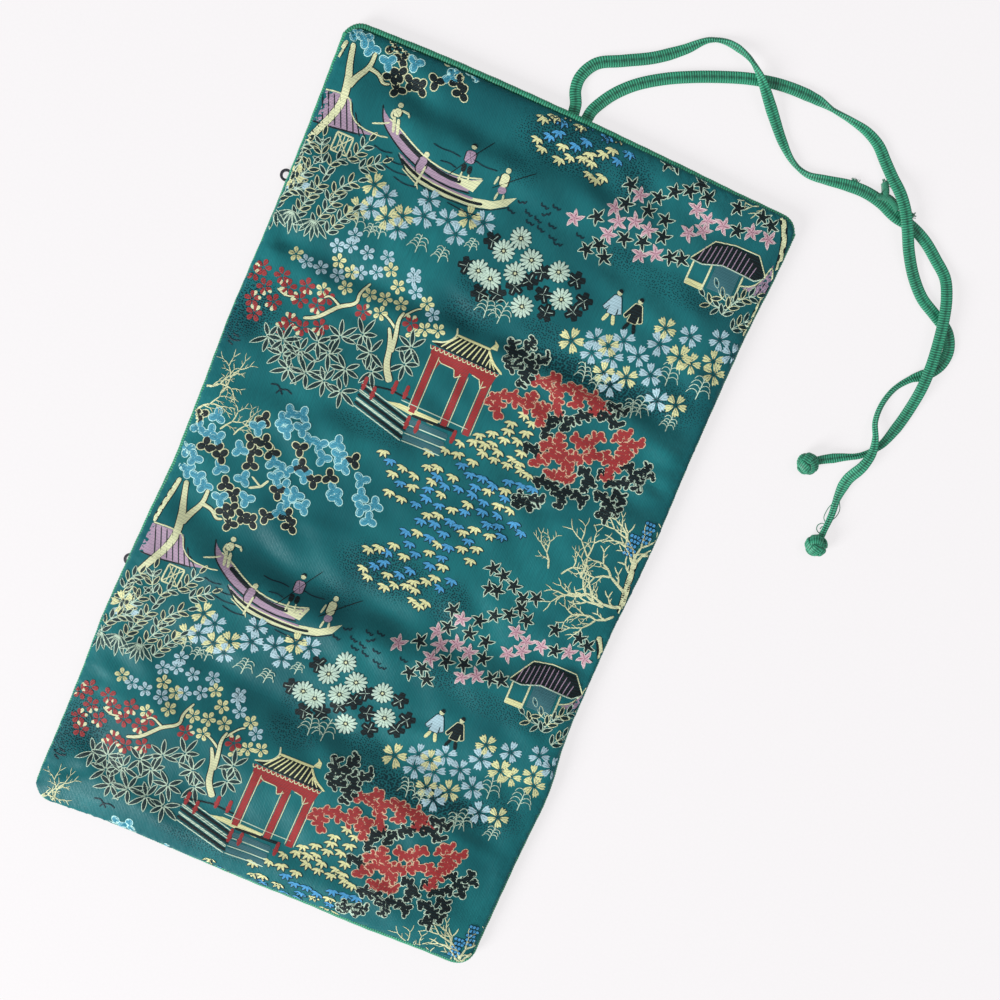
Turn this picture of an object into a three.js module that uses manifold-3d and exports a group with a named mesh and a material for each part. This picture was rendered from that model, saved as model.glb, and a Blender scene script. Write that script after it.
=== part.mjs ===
// Padded brocade jewelry roll, lying open with its outer side up. Lengths are millimetres.
// +Z is up, +Y points to the tied end and +X to the right, seen from above.
// The origin is on the underside, in the middle of the length and width.
import * as THREE from 'three';
import Module from 'manifold-3d';
import { mergeVertices } from 'three/addons/utils/BufferGeometryUtils.js';

const wasm = await Module();
wasm.setup();

// Roll
const rollWidth = 203;
const rollLength = 352;
const cornerRadius = 8.5;
const tiePanelLength = 111;
const endFlapLength = 70;
const seamGap = 0.3;

// Layers of cloth, from the inside out
const pocketThickness = 0.6;
const liningThickness = 0.6;
const waddingThickness = 4.5;
const coverThickness = 0.7;
const liningBottom = pocketThickness + seamGap;
const waddingBottom = liningBottom + liningThickness + seamGap;
const waddingTop = waddingBottom + waddingThickness;
const coverBottom = waddingTop + seamGap;
const coverTop = coverBottom + coverThickness;

// Zip: pull, slider, coil and tape
const floorGap = 0.2;
const bridgeBar = 0.4;
const bridgeLeg = 0.6;
const bridgeHalfLength = 2.2;
const bridgeHalfWidth = 0.8;
const pullThickness = 0.8;
const pullPlay = 0.4;
const pullLength = 18;
const pullRingRadius = 2.6;
const pullHoleRadius = 1.5;
const pullNeckWidth = 1.8;
const pullArm = 0.7;
const pullSegments = 10;
const pullBottom = floorGap + bridgeBar + pullPlay;
const pullTop = pullBottom + pullThickness;
const pullAxisHeight = (pullBottom + pullTop) / 2;
const plateThickness = 0.5;
const sliderHalfLength = 4;
const sliderHalfWidth = 3.4;
const sliderTaperShare = 0.6;
const sliderPlay = 0.6;
const frontPlateBottom = pullTop + sliderPlay;
const coilHeight = 1.6;
const coilSides = 8;
const coilWidth = 1.5;
const coilSlit = 1;
const wedgeWidth = coilSlit - 2 * seamGap;
const coilBottom = frontPlateBottom + plateThickness + seamGap;
const coilTop = coilBottom + coilHeight;
const rearPlateBottom = coilTop + seamGap;
const rearPlateTop = rearPlateBottom + plateThickness;
const tapeThickness = 0.6;
const tapeBottom = coilBottom + (coilHeight - tapeThickness) / 2;
const tapeInner = coilSlit / 2 + coilWidth + seamGap;
const tapeOuter = 7.5;
const stopLength = 1.4;
const upperZipFromTieEnd = 69.4;
const lowerZipFromFold = 21.5;
const zipPocketEdge = 4.5;
const zipPocketFlat = 15;
const zipArchFlat = 7.5;
const zipArchFall = 14;
const zipRidge = 1.5;
const zipArch = rearPlateTop + seamGap - liningBottom;

// Edge binding and how the layers draw in to meet it
const bindingDiameter = 3.2;
const bindingSides = 8;
const bindingBottom = pullTop + seamGap;
const bindingTop = bindingBottom + bindingDiameter;
const layerInset = bindingDiameter + seamGap;
const edgeCloth = bindingDiameter - 3 * seamGap;
const pocketEdgeShare = 0.22;
const liningEdgeShare = 0.22;
const waddingEdgeShare = 0.3;
const crownWidth = 14;
const tuckWidth = 8;
const layerHalfWidth = rollWidth / 2 - layerInset;
const zipHalfLength = layerHalfWidth - tuckWidth / 2 - seamGap;

// Ring bar and its snap
const barWidth = 15;
const barHeight = 6.5;
const barSideRoom = 45.5;
const barHalfLength = rollWidth / 2 - barSideRoom;
const barFloorGap = 0.3;
const barFromEnd = 49;
const barWall = 0.6;
const barSides = 12;
const barArch = barFloorGap + barHeight + seamGap;
const barHump = 5.2;
const tabWidth = 12;
const tabThickness = 0.7;
const tabTaper = 5;
const hingeTabLength = 4;
const snapTabLength = 12;
const hingeTabGap = 1;
const anchorLength = 12.4;
const barAxisHeight = barFloorGap + barHeight / 2;
const barHingeX = -(barHalfLength + tabTaper + hingeTabLength + hingeTabGap);
const snapRadius = 4.6;
const snapHoleRadius = 2;
const studRadius = 1.5;
const snapX = barHalfLength + seamGap + tabTaper + snapRadius + seamGap;
const humpEndRoom = 3.2;
const humpFlatHalfLength = snapX + snapRadius + humpEndRoom;
const humpFall = 14;
const humpFlatHalfWidth = 9;
const humpSideFall = 10;
const socketHeight = 1.4;
const studBase = 0.8;
const capHeight = 1.2;
const roundSides = 16;

// Folds: the end flap folds first, then the tie panel wraps it
const hingeGap = 0.15;
const foldGap = 3.4;
const wrapGap = 1.5;
const endSpineWidth = 2 * coverTop + foldGap;
const tieSpineWidth = endSpineWidth + coverTop + barHump + wrapGap;
const tieEnd = rollLength / 2;
const tieFold = tieEnd - tiePanelLength;
const middleTop = tieFold - tieSpineWidth;
const farEnd = -rollLength / 2;
const endFold = farEnd + endFlapLength;
const middleBottom = endFold + endSpineWidth;
const upperZip = tieEnd - upperZipFromTieEnd;
const lowerZip = middleBottom + lowerZipFromFold;
const barY = farEnd + barFromEnd;

// Ties: flat cords, and the button knots at their ends
const cordWidth = 5.4;
const cordThickness = 2.4;
const cordSides = 8;
const cordSteps = 72;
const knotRadius = 5;
const knotHalfHeight = 3.4;
const knotSides = 12;
const knotRings = 8;
const knotFloorGap = 0.1;
const leftKnotCentre = [145.6, -92.4];
const rightKnotCentre = [163.4, -122.6];

// Centre lines of the ties, from the binding to the knots, as they lie round the open roll.
// The second number of each point is measured from the tied end.
const leftTieRoute = [
  [-3, 0.6, 2.1], [-3.6, 4, 2.05], [-6, 9.4, 1.4], [-6.2, 15.2, 1.35], [-2.4, 22.3, 1.35],
  [7.2, 27.8, 1.35], [18.6, 34.2, 1.35], [28.5, 42, 1.35], [36.4, 49.6, 1.35], [43.5, 51.7, 1.5],
  [53.5, 49.1, 3.8], [60, 44.8, 4.5], [65, 40, 4.5], [73, 32.3, 2.4], [81, 24.5, 1.35],
  [88.4, 18.9, 1.35], [95.5, 16.7, 1.35], [104, 17.8, 1.35], [113, 19.4, 1.35], [121, 19.9, 1.35],
  [129, 18.7, 1.35], [137, 15.9, 1.35], [145, 14.7, 1.35], [152.5, 11.6, 1.35], [160, 6.5, 1.35],
  [166.6, 1, 2], [170, -6.5, 3.9], [172.4, -14.5, 4.5], [174.6, -25, 4.4], [175.9, -35, 4.5],
  [176.3, -44.5, 4.4], [176.1, -55, 1.7], [174.3, -64.5, 1.35], [171.3, -73.3, 1.35],
  [165.6, -80.1, 1.35], [157.5, -84.5, 2.2], [150, -88.8, 3.2],
];
const rightTieRoute = [
  [3, 0.6, 2.1], [3.5, 4, 2.05], [5.6, 8.7, 1.4], [9.4, 14.5, 1.35], [15.8, 21.1, 1.35],
  [25.7, 28, 1.35], [36, 33.4, 1.35], [47, 38.2, 1.35], [58, 42.2, 1.35], [70, 45, 1.35],
  [80, 45.8, 1.35], [88, 45.6, 1.35], [95.5, 44.6, 1.35], [103.5, 43.8, 1.35], [111.5, 42.3, 1.35],
  [118, 39.3, 1.35], [123.7, 34.2, 1.5], [128.7, 29.3, 2.6], [133.8, 24.5, 4.2], [138.6, 19, 4.5],
  [142.8, 12.3, 4.5], [147.7, 4.6, 3], [154.3, -3.4, 1.35], [161.4, -10.1, 1.35], [169.3, -14.3, 1.35],
  [177.2, -18.8, 1.35], [180.9, -25.2, 1.35], [180.6, -32, 1.35], [176.8, -38, 1.35],
  [171.6, -42.4, 1.35], [166.8, -49, 1.35], [164.6, -57, 1.5], [164.7, -65, 2.8], [167.2, -71.6, 4.4],
  [168.5, -77.4, 4.5], [167.2, -84.3, 4.6], [164.2, -92, 2.6], [163.9, -100, 1.35], [164.5, -108, 1.9],
  [163.9, -116.8, 3.2],
];

// Finishes
const finish = (color, roughness, metalness = 0) => (
  new THREE.MeshStandardMaterial({ color, roughness, metalness })
);
const brocade = finish('#1e6e73', 0.42);
const padding = finish('#efeee8', 0.95);
const satin = finish('#5c1420', 0.4);
const braid = finish('#23966e', 0.6);
const tape = finish('#4b1019', 0.8);
const nylon = finish('#54131d', 0.45);
const brass = finish('#b08a4a', 0.35, 1);
const steel = finish('#3c3f44', 0.4, 1);

const roll = new THREE.Group();
const addMesh = (name, geometry, material, parent = roll) => {
  const mesh = new THREE.Mesh(geometry, material);
  mesh.name = name;
  parent.add(mesh);
  return mesh;
};

const mix = (a, b, t) => a + (b - a) * t;
const clamp01 = (t) => Math.min(1, Math.max(0, t));
const smooth = (t) => clamp01(t) ** 2 * (3 - 2 * clamp01(t));
// 1 within flat of the middle, falling smoothly to 0 over the given distance
const plateau = (offset, flat, fall) => 1 - smooth((Math.abs(offset) - flat) / fall);

// A closed body from points and triangles, with its faces turned outwards
const closedBody = (points, triangles) => {
  const volume = triangles.reduce((sum, [a, b, c]) => (
    sum + points[a].dot(points[b].clone().cross(points[c]))
  ), 0);
  const index = triangles.flatMap(([a, b, c]) => (volume < 0 ? [a, c, b] : [a, b, c]));
  const geometry = new THREE.BufferGeometry().setFromPoints(points);
  geometry.setIndex(index);
  geometry.computeVertexNormals();
  return geometry;
};

// A body through a row of rings with equally many points, closed at both ends
const loft = (rings) => {
  const sides = rings[0].length;
  const points = rings.flat();
  const triangles = [];
  for (let ring = 0; ring + 1 < rings.length; ring += 1) {
    for (let side = 0; side < sides; side += 1) {
      const a = ring * sides + side;
      const b = ring * sides + ((side + 1) % sides);
      triangles.push([a, b, b + sides], [a, b + sides, a + sides]);
    }
  }
  const last = (rings.length - 1) * sides;
  for (let side = 1; side + 1 < sides; side += 1) {
    triangles.push([0, side + 1, side], [last, last + side, last + side + 1]);
  }
  return closedBody(points, triangles);
};

const toManifold = (geometry) => {
  geometry.deleteAttribute('normal');
  geometry.deleteAttribute('uv');
  const merged = mergeVertices(geometry);
  return new wasm.Manifold(new wasm.Mesh({
    numProp: 3,
    vertProperties: merged.attributes.position.array,
    triVerts: new Uint32Array(merged.index.array),
  }));
};

const fromManifold = (solid) => {
  const { vertProperties, triVerts } = solid.getMesh();
  const geometry = new THREE.BufferGeometry();
  geometry.setAttribute('position', new THREE.BufferAttribute(vertProperties, 3));
  geometry.setIndex(new THREE.BufferAttribute(triVerts, 1));
  geometry.computeVertexNormals();
  return geometry;
};

// A box between two corners
const boxBetween = (low, high) => {
  const size = low.map((value, axis) => high[axis] - value);
  const geometry = new THREE.BoxGeometry(...size);
  geometry.translate(...low.map((value, axis) => (value + high[axis]) / 2));
  return geometry;
};

// A disc or ring about a vertical axis, from a profile of [radius, height] pairs
const turned = (profile, x, y) => {
  const geometry = new THREE.LatheGeometry(profile.map(([r, h]) => new THREE.Vector2(r, h)), roundSides);
  geometry.rotateX(Math.PI / 2);
  geometry.translate(x, y, 0);
  return geometry;
};

// Segments

const segments = {
  tie_panel: { top: tieEnd, bottom: tieFold, zip: upperZip },
  tie_spine: { top: tieFold, bottom: middleTop },
  middle_panel: { top: middleTop, bottom: middleBottom, zip: lowerZip },
  end_spine: { top: middleBottom, bottom: endFold },
  end_flap: { top: endFold, bottom: farEnd, bar: barY },
};

const layerCorner = cornerRadius - layerInset;
const layerTieEnd = tieEnd - layerInset;
const layerFarEnd = farEnd + layerInset;

// Half the width of the layers at y, less at the rounded corners
const halfWidthAt = (y) => {
  const fromEnd = Math.min(layerTieEnd - y, y - layerFarEnd);
  if (fromEnd >= layerCorner) return layerHalfWidth;
  const rise = layerCorner - fromEnd;
  return layerHalfWidth - layerCorner + Math.sqrt(Math.max(0, layerCorner ** 2 - rise ** 2));
};

// Distance inwards from the rounded outline of the layers
const edgeDistance = (x, y) => {
  const fromSide = layerHalfWidth - Math.abs(x);
  const fromEnd = Math.min(layerTieEnd - y, y - layerFarEnd);
  if (fromSide >= layerCorner || fromEnd >= layerCorner) return Math.max(0, Math.min(fromSide, fromEnd));
  return Math.max(0, layerCorner - Math.hypot(layerCorner - fromSide, layerCorner - fromEnd));
};

const crown = (distance) => Math.sqrt(1 - (1 - clamp01(distance / crownWidth)) ** 2);
const tuck = (distance) => smooth(distance / tuckWidth);

const zipWindow = (segment, y) => (
  segment.zip === undefined ? 0 : plateau(y - segment.zip, zipArchFlat, zipArchFall)
);
const humpWindow = (segment, x, y) => (
  segment.bar === undefined ? 0
    : plateau(x, humpFlatHalfLength, humpFall) * plateau(y - segment.bar, humpFlatHalfWidth, humpSideFall)
);

// Heights of the faces of each layer: upper faces follow the crown, lower faces the tuck
const upperFace = (edge, flat) => (segment, x, y) => {
  const rise = zipRidge * zipWindow(segment, y) + barHump * humpWindow(segment, x, y);
  return mix(edge, flat + rise, crown(edgeDistance(x, y)));
};
const lowerFace = (edge, flat) => (segment, x, y) => {
  const drop = segment.bar === undefined ? 0 : liningBottom;
  const arch = zipArch * zipWindow(segment, y) + barArch * humpWindow(segment, x, y);
  return mix(edge, flat - drop + arch, tuck(edgeDistance(x, y)));
};

const pocketEdgeTop = bindingBottom + pocketEdgeShare * edgeCloth;
const liningEdgeBottom = pocketEdgeTop + seamGap;
const liningEdgeTop = liningEdgeBottom + liningEdgeShare * edgeCloth;
const waddingEdgeBottom = liningEdgeTop + seamGap;
const waddingEdgeTop = waddingEdgeBottom + waddingEdgeShare * edgeCloth;
const layers = {
  cover: {
    lower: upperFace(waddingEdgeTop + seamGap, coverBottom),
    upper: upperFace(bindingTop, coverTop),
    material: brocade,
  },
  wadding: {
    lower: lowerFace(waddingEdgeBottom, waddingBottom),
    upper: upperFace(waddingEdgeTop, waddingTop),
    material: padding,
  },
  lining: {
    lower: lowerFace(liningEdgeBottom, liningBottom),
    upper: lowerFace(liningEdgeTop, liningBottom + liningThickness),
    material: satin,
  },
};

// Where a face ends at a fold line: the lower it lies, the further it stands back, as a mitre
const mitre = ({ y, inwards }, height) => (inwards === 0 ? y : y + inwards * (coverTop - height + hingeGap));

// A pad of cloth: a grid of columns across and stations along, with a lower and an upper face
const pad = (segment, { lower, upper }, [top, bottom], columns, stations) => {
  const rows = stations.length + 2;
  const points = [lower, upper].flatMap((face) => columns.flatMap((share) => {
    const edgeX = share * layerHalfWidth;
    const [from, to] = [top, bottom].map((end) => mitre(end, face(segment, edgeX, end.y)));
    return [from, ...stations, to].map((y) => {
      const x = share * halfWidthAt(y);
      return new THREE.Vector3(x, y, face(segment, x, y));
    });
  }));
  const at = (face, column, row) => (face * columns.length + column) * rows + row;
  const lastColumn = columns.length - 1;
  const lastRow = rows - 1;
  const triangles = [];
  const addQuad = (a, b, c, d) => triangles.push([a, b, c], [a, c, d]);
  for (let column = 0; column < lastColumn; column += 1) {
    for (let row = 0; row < lastRow; row += 1) {
      addQuad(at(1, column, row), at(1, column, row + 1), at(1, column + 1, row + 1), at(1, column + 1, row));
      addQuad(at(0, column, row), at(0, column + 1, row), at(0, column + 1, row + 1), at(0, column, row + 1));
    }
    addQuad(at(0, column, 0), at(1, column, 0), at(1, column + 1, 0), at(0, column + 1, 0));
    addQuad(
      at(0, column, lastRow), at(0, column + 1, lastRow),
      at(1, column + 1, lastRow), at(1, column, lastRow),
    );
  }
  for (let row = 0; row < lastRow; row += 1) {
    addQuad(at(0, 0, row), at(0, 0, row + 1), at(1, 0, row + 1), at(1, 0, row));
    addQuad(
      at(0, lastColumn, row), at(1, lastColumn, row),
      at(1, lastColumn, row + 1), at(0, lastColumn, row + 1),
    );
  }
  return closedBody(points, triangles);
};

// Columns across a segment, as shares of the half width
const columnsOf = (segment) => {
  const edge = [0, tuckWidth / 2, tuckWidth].map((inset) => layerHalfWidth - inset);
  const inside = segment.bar === undefined
    ? [layerHalfWidth - crownWidth]
    : [humpFlatHalfLength + humpFall, humpFlatHalfLength + humpFall / 2, humpFlatHalfLength];
  const half = [...edge, ...inside].map((x) => x / layerHalfWidth);
  return [...half.map((share) => -share), 0, ...half.reverse()];
};

// Stations along a segment between two ends, from the tie side down
const cornerStep = layerCorner * (1 - Math.SQRT1_2);
const endInsets = [cornerStep, layerCorner, tuckWidth, crownWidth];
const around = (middle, flat, fall) => (
  [flat, flat + fall / 2, flat + fall].flatMap((reach) => [middle + reach, middle - reach])
);
const stationsOf = (segment, [top, bottom]) => {
  const places = [];
  if (segment.zip !== undefined) places.push(...around(segment.zip, zipArchFlat, zipArchFall));
  if (segment.bar !== undefined) places.push(...around(segment.bar, humpFlatHalfWidth, humpSideFall));
  if (segment.top === tieEnd) places.push(...endInsets.map((inset) => layerTieEnd - inset));
  if (segment.bottom === farEnd) places.push(...endInsets.map((inset) => layerFarEnd + inset));
  const clear = (end) => (end.inwards === 0 ? seamGap : coverTop + 2 * hingeGap);
  return places
    .filter((y) => y < top.y - clear(top) && y > bottom.y + clear(bottom))
    .sort((a, b) => b - a);
};

const endsOf = (segment) => [
  segment.top === tieEnd ? { y: layerTieEnd, inwards: 0 } : { y: segment.top, inwards: -1 },
  segment.bottom === farEnd ? { y: layerFarEnd, inwards: 0 } : { y: segment.bottom, inwards: 1 },
];

const addLayers = (name, segment) => {
  const ends = endsOf(segment);
  for (const [layer, faces] of Object.entries(layers)) {
    const geometry = pad(segment, faces, ends, columnsOf(segment), stationsOf(segment, ends));
    addMesh(`${name}_${layer}`, geometry, faces.material);
  }
};

// Pocket face: one panel on each side of the zip, curling up to the tape
const pocketCurl = tapeBottom - seamGap - pocketThickness;
const pocketFace = (edge, flat) => (segment, x, y) => {
  const fromZip = Math.abs(y - segment.zip) - zipPocketEdge;
  const curl = pocketCurl * (1 - smooth(fromZip / (zipPocketFlat - zipPocketEdge)));
  return mix(edge, flat + curl, tuck(edgeDistance(x, y)));
};
const addPocket = (name, segment, [top, bottom]) => {
  const faces = { lower: pocketFace(bindingBottom, 0), upper: pocketFace(pocketEdgeTop, pocketThickness) };
  const middle = (zipPocketEdge + zipPocketFlat) / 2;
  const nearZip = [middle, zipPocketFlat].flatMap((reach) => [segment.zip + reach, segment.zip - reach]);
  const nearEnd = segment.top === tieEnd ? endInsets.slice(0, -1).map((inset) => layerTieEnd - inset) : [];
  const highest = top.y + top.inwards * coverTop - seamGap;
  const lowest = bottom.y + bottom.inwards * coverTop + seamGap;
  const stations = [...nearZip, ...nearEnd]
    .filter((y) => y < highest && y > lowest)
    .sort((a, b) => b - a);
  addMesh(name, pad(segment, faces, [top, bottom], columnsOf(segment), stations), satin);
};
const addPockets = (name, segment) => {
  const [top, bottom] = endsOf(segment);
  const aboveZip = [top, { y: segment.zip + zipPocketEdge, inwards: 0 }];
  const belowZip = [{ y: segment.zip - zipPocketEdge, inwards: 0 }, bottom];
  addPocket(`${name}_upper_pocket_face`, segment, aboveZip);
  addPocket(`${name}_lower_pocket_face`, segment, belowZip);
};

// Edge binding: a round bead along the outline, mitred where it meets a fold
const bindingRadius = bindingDiameter / 2;
const bindingHeight = bindingBottom + bindingRadius;
const bindingX = rollWidth / 2 - bindingRadius;
const bindingCorner = cornerRadius - bindingRadius;
const cornerTurns = 6;

const beadRing = (x, y, outX, outY, end) => Array.from({ length: bindingSides }, (_, side) => {
  const angle = (2 * Math.PI * side) / bindingSides;
  const out = bindingRadius * Math.cos(angle);
  const z = bindingHeight + bindingRadius * Math.sin(angle);
  return new THREE.Vector3(x + outX * out, end ? mitre(end, z) : y + outY * out, z);
});

const addSideBindings = (name, segment) => {
  const ends = endsOf(segment);
  for (const [side, sign] of [['left', -1], ['right', 1]]) {
    const rings = ends.map((end) => beadRing(sign * bindingX, end.y, sign, 0, end));
    addMesh(`${name}_${side}_binding`, loft(rings), braid);
  }
};

// Binding round one end of the roll: up one side, round both corners and down the other side
const addEndBinding = (name, segment) => {
  const up = segment.top === tieEnd ? 1 : -1;
  const fold = endsOf(segment).find(({ inwards }) => inwards !== 0);
  const cornerY = (up > 0 ? tieEnd : farEnd) - up * cornerRadius;
  const cornerX = rollWidth / 2 - cornerRadius;
  const rings = [beadRing(-bindingX, fold.y, -1, 0, fold)];
  for (const side of [-1, 1]) {
    for (let turn = 0; turn <= cornerTurns; turn += 1) {
      const share = side < 0 ? turn / cornerTurns : 1 - turn / cornerTurns;
      const angle = (share * Math.PI) / 2;
      const outX = side * Math.cos(angle);
      const outY = up * Math.sin(angle);
      rings.push(beadRing(side * cornerX + outX * bindingCorner, cornerY + outY * bindingCorner, outX, outY));
    }
  }
  rings.push(beadRing(bindingX, fold.y, 1, 0, fold));
  addMesh(`${name}_binding`, loft(rings), braid);
};

// Zips

const sliderParkX = -(layerHalfWidth - tuckWidth - sliderHalfLength);
const coilHalfLength = sliderHalfLength + sliderPlay - sliderParkX;

const addTapes = (name, zip) => {
  for (const [side, sign] of [['upper', 1], ['lower', -1]]) {
    const tapeY = [sign * tapeInner, sign * tapeOuter].sort((a, b) => a - b);
    const cloth = boxBetween(
      [-zipHalfLength, tapeY[0], tapeBottom],
      [zipHalfLength, tapeY[1], tapeBottom + tapeThickness],
    );
    addMesh(`${name}_${side}_tape`, cloth, tape, zip);
    const coil = new THREE.CylinderGeometry(coilHeight / 2, coilHeight / 2, 2 * coilHalfLength, coilSides);
    coil.rotateZ(Math.PI / 2);
    coil.scale(1, coilWidth / coilHeight, 1);
    coil.translate(0, sign * (coilSlit + coilWidth) / 2, (coilBottom + coilTop) / 2);
    addMesh(`${name}_${side}_coil`, coil, nylon, zip);
  }
  const stopY = coilSlit / 2 + coilWidth;
  for (const [side, sign] of [['left', -1], ['right', 1]]) {
    const near = coilHalfLength + seamGap;
    const stopX = [sign * near, sign * (near + stopLength)].sort((a, b) => a - b);
    const stop = boxBetween([stopX[0], -stopY, coilBottom - seamGap], [stopX[1], stopY, coilTop]);
    addMesh(`${name}_${side}_stop`, stop, steel, zip);
  }
};

// Slider: two plates on a wedge that runs in the slit between the coils, and a bridge for the pull
const sliderGeometry = () => {
  const outline = new THREE.Shape();
  const tail = sliderHalfWidth * sliderTaperShare;
  outline.moveTo(-sliderHalfLength, -tail);
  outline.lineTo(-sliderHalfLength / 2, -sliderHalfWidth);
  outline.lineTo(0, -sliderHalfWidth);
  outline.lineTo(sliderHalfLength, -tail);
  outline.lineTo(sliderHalfLength, tail);
  outline.lineTo(0, sliderHalfWidth);
  outline.lineTo(-sliderHalfLength / 2, sliderHalfWidth);
  outline.lineTo(-sliderHalfLength, tail);
  outline.closePath();
  const plate = (bottom) => {
    const geometry = new THREE.ExtrudeGeometry(outline, { depth: plateThickness, bevelEnabled: false });
    geometry.translate(0, 0, bottom);
    return geometry;
  };
  const wedge = boxBetween(
    [-sliderHalfLength, -wedgeWidth / 2, frontPlateBottom],
    [0, wedgeWidth / 2, rearPlateTop],
  );
  const leg = (x) => boxBetween(
    [x, -bridgeHalfWidth, floorGap],
    [x + bridgeLeg, bridgeHalfWidth, frontPlateBottom + plateThickness / 2],
  );
  const bar = boxBetween(
    [-bridgeHalfLength, -bridgeHalfWidth, floorGap],
    [bridgeHalfLength, bridgeHalfWidth, floorGap + bridgeBar],
  );
  const pieces = [
    plate(frontPlateBottom), plate(rearPlateBottom), wedge,
    leg(-bridgeHalfLength), leg(bridgeHalfLength - bridgeLeg), bar,
  ];
  return fromManifold(pieces.map(toManifold).reduce((whole, piece) => whole.add(piece)));
};

// Ring pull: an eye round the bridge, a neck, and a ring at the tip
const pullGeometry = () => {
  const half = pullThickness / 2;
  const eyeInner = bridgeHalfWidth + seamGap;
  const eyeEnd = bridgeHalfLength + sliderPlay;
  const outline = new THREE.Shape();
  const ringX = -(pullLength - pullRingRadius);
  const neck = pullNeckWidth / 2;
  const neckAngle = Math.asin(neck / pullRingRadius);
  outline.moveTo(half, -eyeInner - pullArm);
  outline.lineTo(half, eyeInner + pullArm);
  outline.lineTo(-eyeEnd - pullArm, eyeInner + pullArm);
  outline.lineTo(-eyeEnd - pullArm, neck);
  outline.absarc(ringX, 0, pullRingRadius, neckAngle, 2 * Math.PI - neckAngle, false);
  outline.lineTo(-eyeEnd - pullArm, -neck);
  outline.lineTo(-eyeEnd - pullArm, -eyeInner - pullArm);
  outline.closePath();
  const eye = new THREE.Path();
  eye.moveTo(-half, -eyeInner);
  eye.lineTo(-eyeEnd, -eyeInner);
  eye.lineTo(-eyeEnd, eyeInner);
  eye.lineTo(-half, eyeInner);
  eye.closePath();
  const ring = new THREE.Path();
  ring.absarc(ringX, 0, pullHoleRadius, 0, 2 * Math.PI, true);
  outline.holes.push(eye, ring);
  const geometry = new THREE.ExtrudeGeometry(outline, {
    depth: pullThickness, bevelEnabled: false, curveSegments: pullSegments,
  });
  geometry.translate(0, 0, -half);
  return geometry;
};

const addZip = (name, y) => {
  const zip = new THREE.Group();
  zip.position.y = y;
  roll.add(zip);
  addTapes(name, zip);
  const moving = new THREE.Group();
  moving.position.x = sliderParkX;
  zip.add(moving);
  addMesh(`${name}_slider`, sliderGeometry(), brass, moving);
  const pull = addMesh(`${name}_pull`, pullGeometry(), steel, moving);
  pull.position.z = pullAxisHeight;
};

// Ring bar: a stuffed sleeve, sewn on at the left and held by a snap at the right

const ovalRing = (x, halfWidth, halfHeight) => Array.from({ length: barSides }, (_, side) => {
  const angle = (2 * Math.PI * side) / barSides;
  const y = barY + halfWidth * Math.cos(angle);
  return new THREE.Vector3(x, y, barAxisHeight + halfHeight * Math.sin(angle));
});

const addRingBar = () => {
  const outer = [barWidth / 2, barHeight / 2];
  const inner = outer.map((half) => half - barWall);
  const core = inner.map((half) => half - seamGap);
  const flat = [tabWidth / 2, tabThickness / 2];
  const sleeve = loft([
    ovalRing(-barHalfLength - tabTaper - hingeTabLength, ...flat),
    ovalRing(-barHalfLength - tabTaper, ...flat),
    ovalRing(-barHalfLength, ...outer),
    ovalRing(barHalfLength, ...outer),
    ovalRing(barHalfLength, ...inner),
    ovalRing(-barHalfLength, ...inner),
  ]);
  addMesh('ring_bar_sleeve', sleeve, satin);
  const filling = loft([-1, 1].map((side) => ovalRing(side * (barHalfLength - seamGap), ...core)));
  addMesh('ring_bar_filling', filling, padding);
  const tabStart = barHalfLength + seamGap;
  const endTab = loft([
    ovalRing(tabStart, ...outer),
    ovalRing(tabStart + tabTaper, ...flat),
    ovalRing(tabStart + tabTaper + snapTabLength, ...flat),
  ]);
  addMesh('ring_bar_end_tab', endTab, satin);
  const anchorStart = barHingeX - hingeTabGap;
  const anchor = boxBetween(
    [anchorStart - anchorLength, barY - tabWidth / 2, barAxisHeight - tabThickness / 2],
    [anchorStart, barY + tabWidth / 2, barAxisHeight + tabThickness / 2],
  );
  addMesh('ring_bar_anchor', anchor, satin);
};

const addSnap = () => {
  const tabTop = barAxisHeight + tabThickness / 2;
  const socketBottom = tabTop + seamGap;
  const socketTop = socketBottom + socketHeight;
  const baseTop = barArch - seamGap;
  const baseBottom = baseTop - studBase;
  const capTop = barAxisHeight - tabThickness / 2 - seamGap;
  addMesh('snap_socket', turned([
    [snapHoleRadius, socketBottom], [snapRadius, socketBottom], [snapRadius, socketTop],
    [snapHoleRadius, socketTop], [snapHoleRadius, socketBottom],
  ], snapX, barY), brass);
  addMesh('snap_stud', turned([
    [0, socketBottom + seamGap], [studRadius, socketBottom + seamGap], [studRadius, baseBottom],
    [snapRadius, baseBottom], [snapRadius, baseTop], [0, baseTop],
  ], snapX, barY), brass);
  addMesh('snap_cap', turned([
    [0, capTop - capHeight], [snapRadius - capHeight, capTop - capHeight], [snapRadius, capTop], [0, capTop],
  ], snapX, barY), brass);
};

// Ties

const addTie = (side, route, [knotX, knotFromEnd]) => {
  const section = new THREE.Shape(Array.from({ length: cordSides }, (_, corner) => {
    const angle = (2 * Math.PI * (corner + 1 / 2)) / cordSides;
    return new THREE.Vector2((cordThickness / 2) * Math.cos(angle), (cordWidth / 2) * Math.sin(angle));
  }));
  const points = route.map(([x, fromEnd, z]) => new THREE.Vector3(x, tieEnd + fromEnd, z));
  const path = new THREE.CatmullRomCurve3(points, false, 'centripetal');
  const cord = new THREE.ExtrudeGeometry(section, {
    steps: cordSteps, bevelEnabled: false, extrudePath: path,
  });
  addMesh(`${side}_tie_cord`, cord, braid);
  const knot = new THREE.SphereGeometry(knotRadius, knotSides, knotRings);
  knot.rotateX(Math.PI / 2);
  knot.scale(1, 1, knotHalfHeight / knotRadius);
  knot.translate(knotX, tieEnd + knotFromEnd, knotHalfHeight + knotFloorGap);
  addMesh(`${side}_tie_knot`, knot, braid);
};

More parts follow.
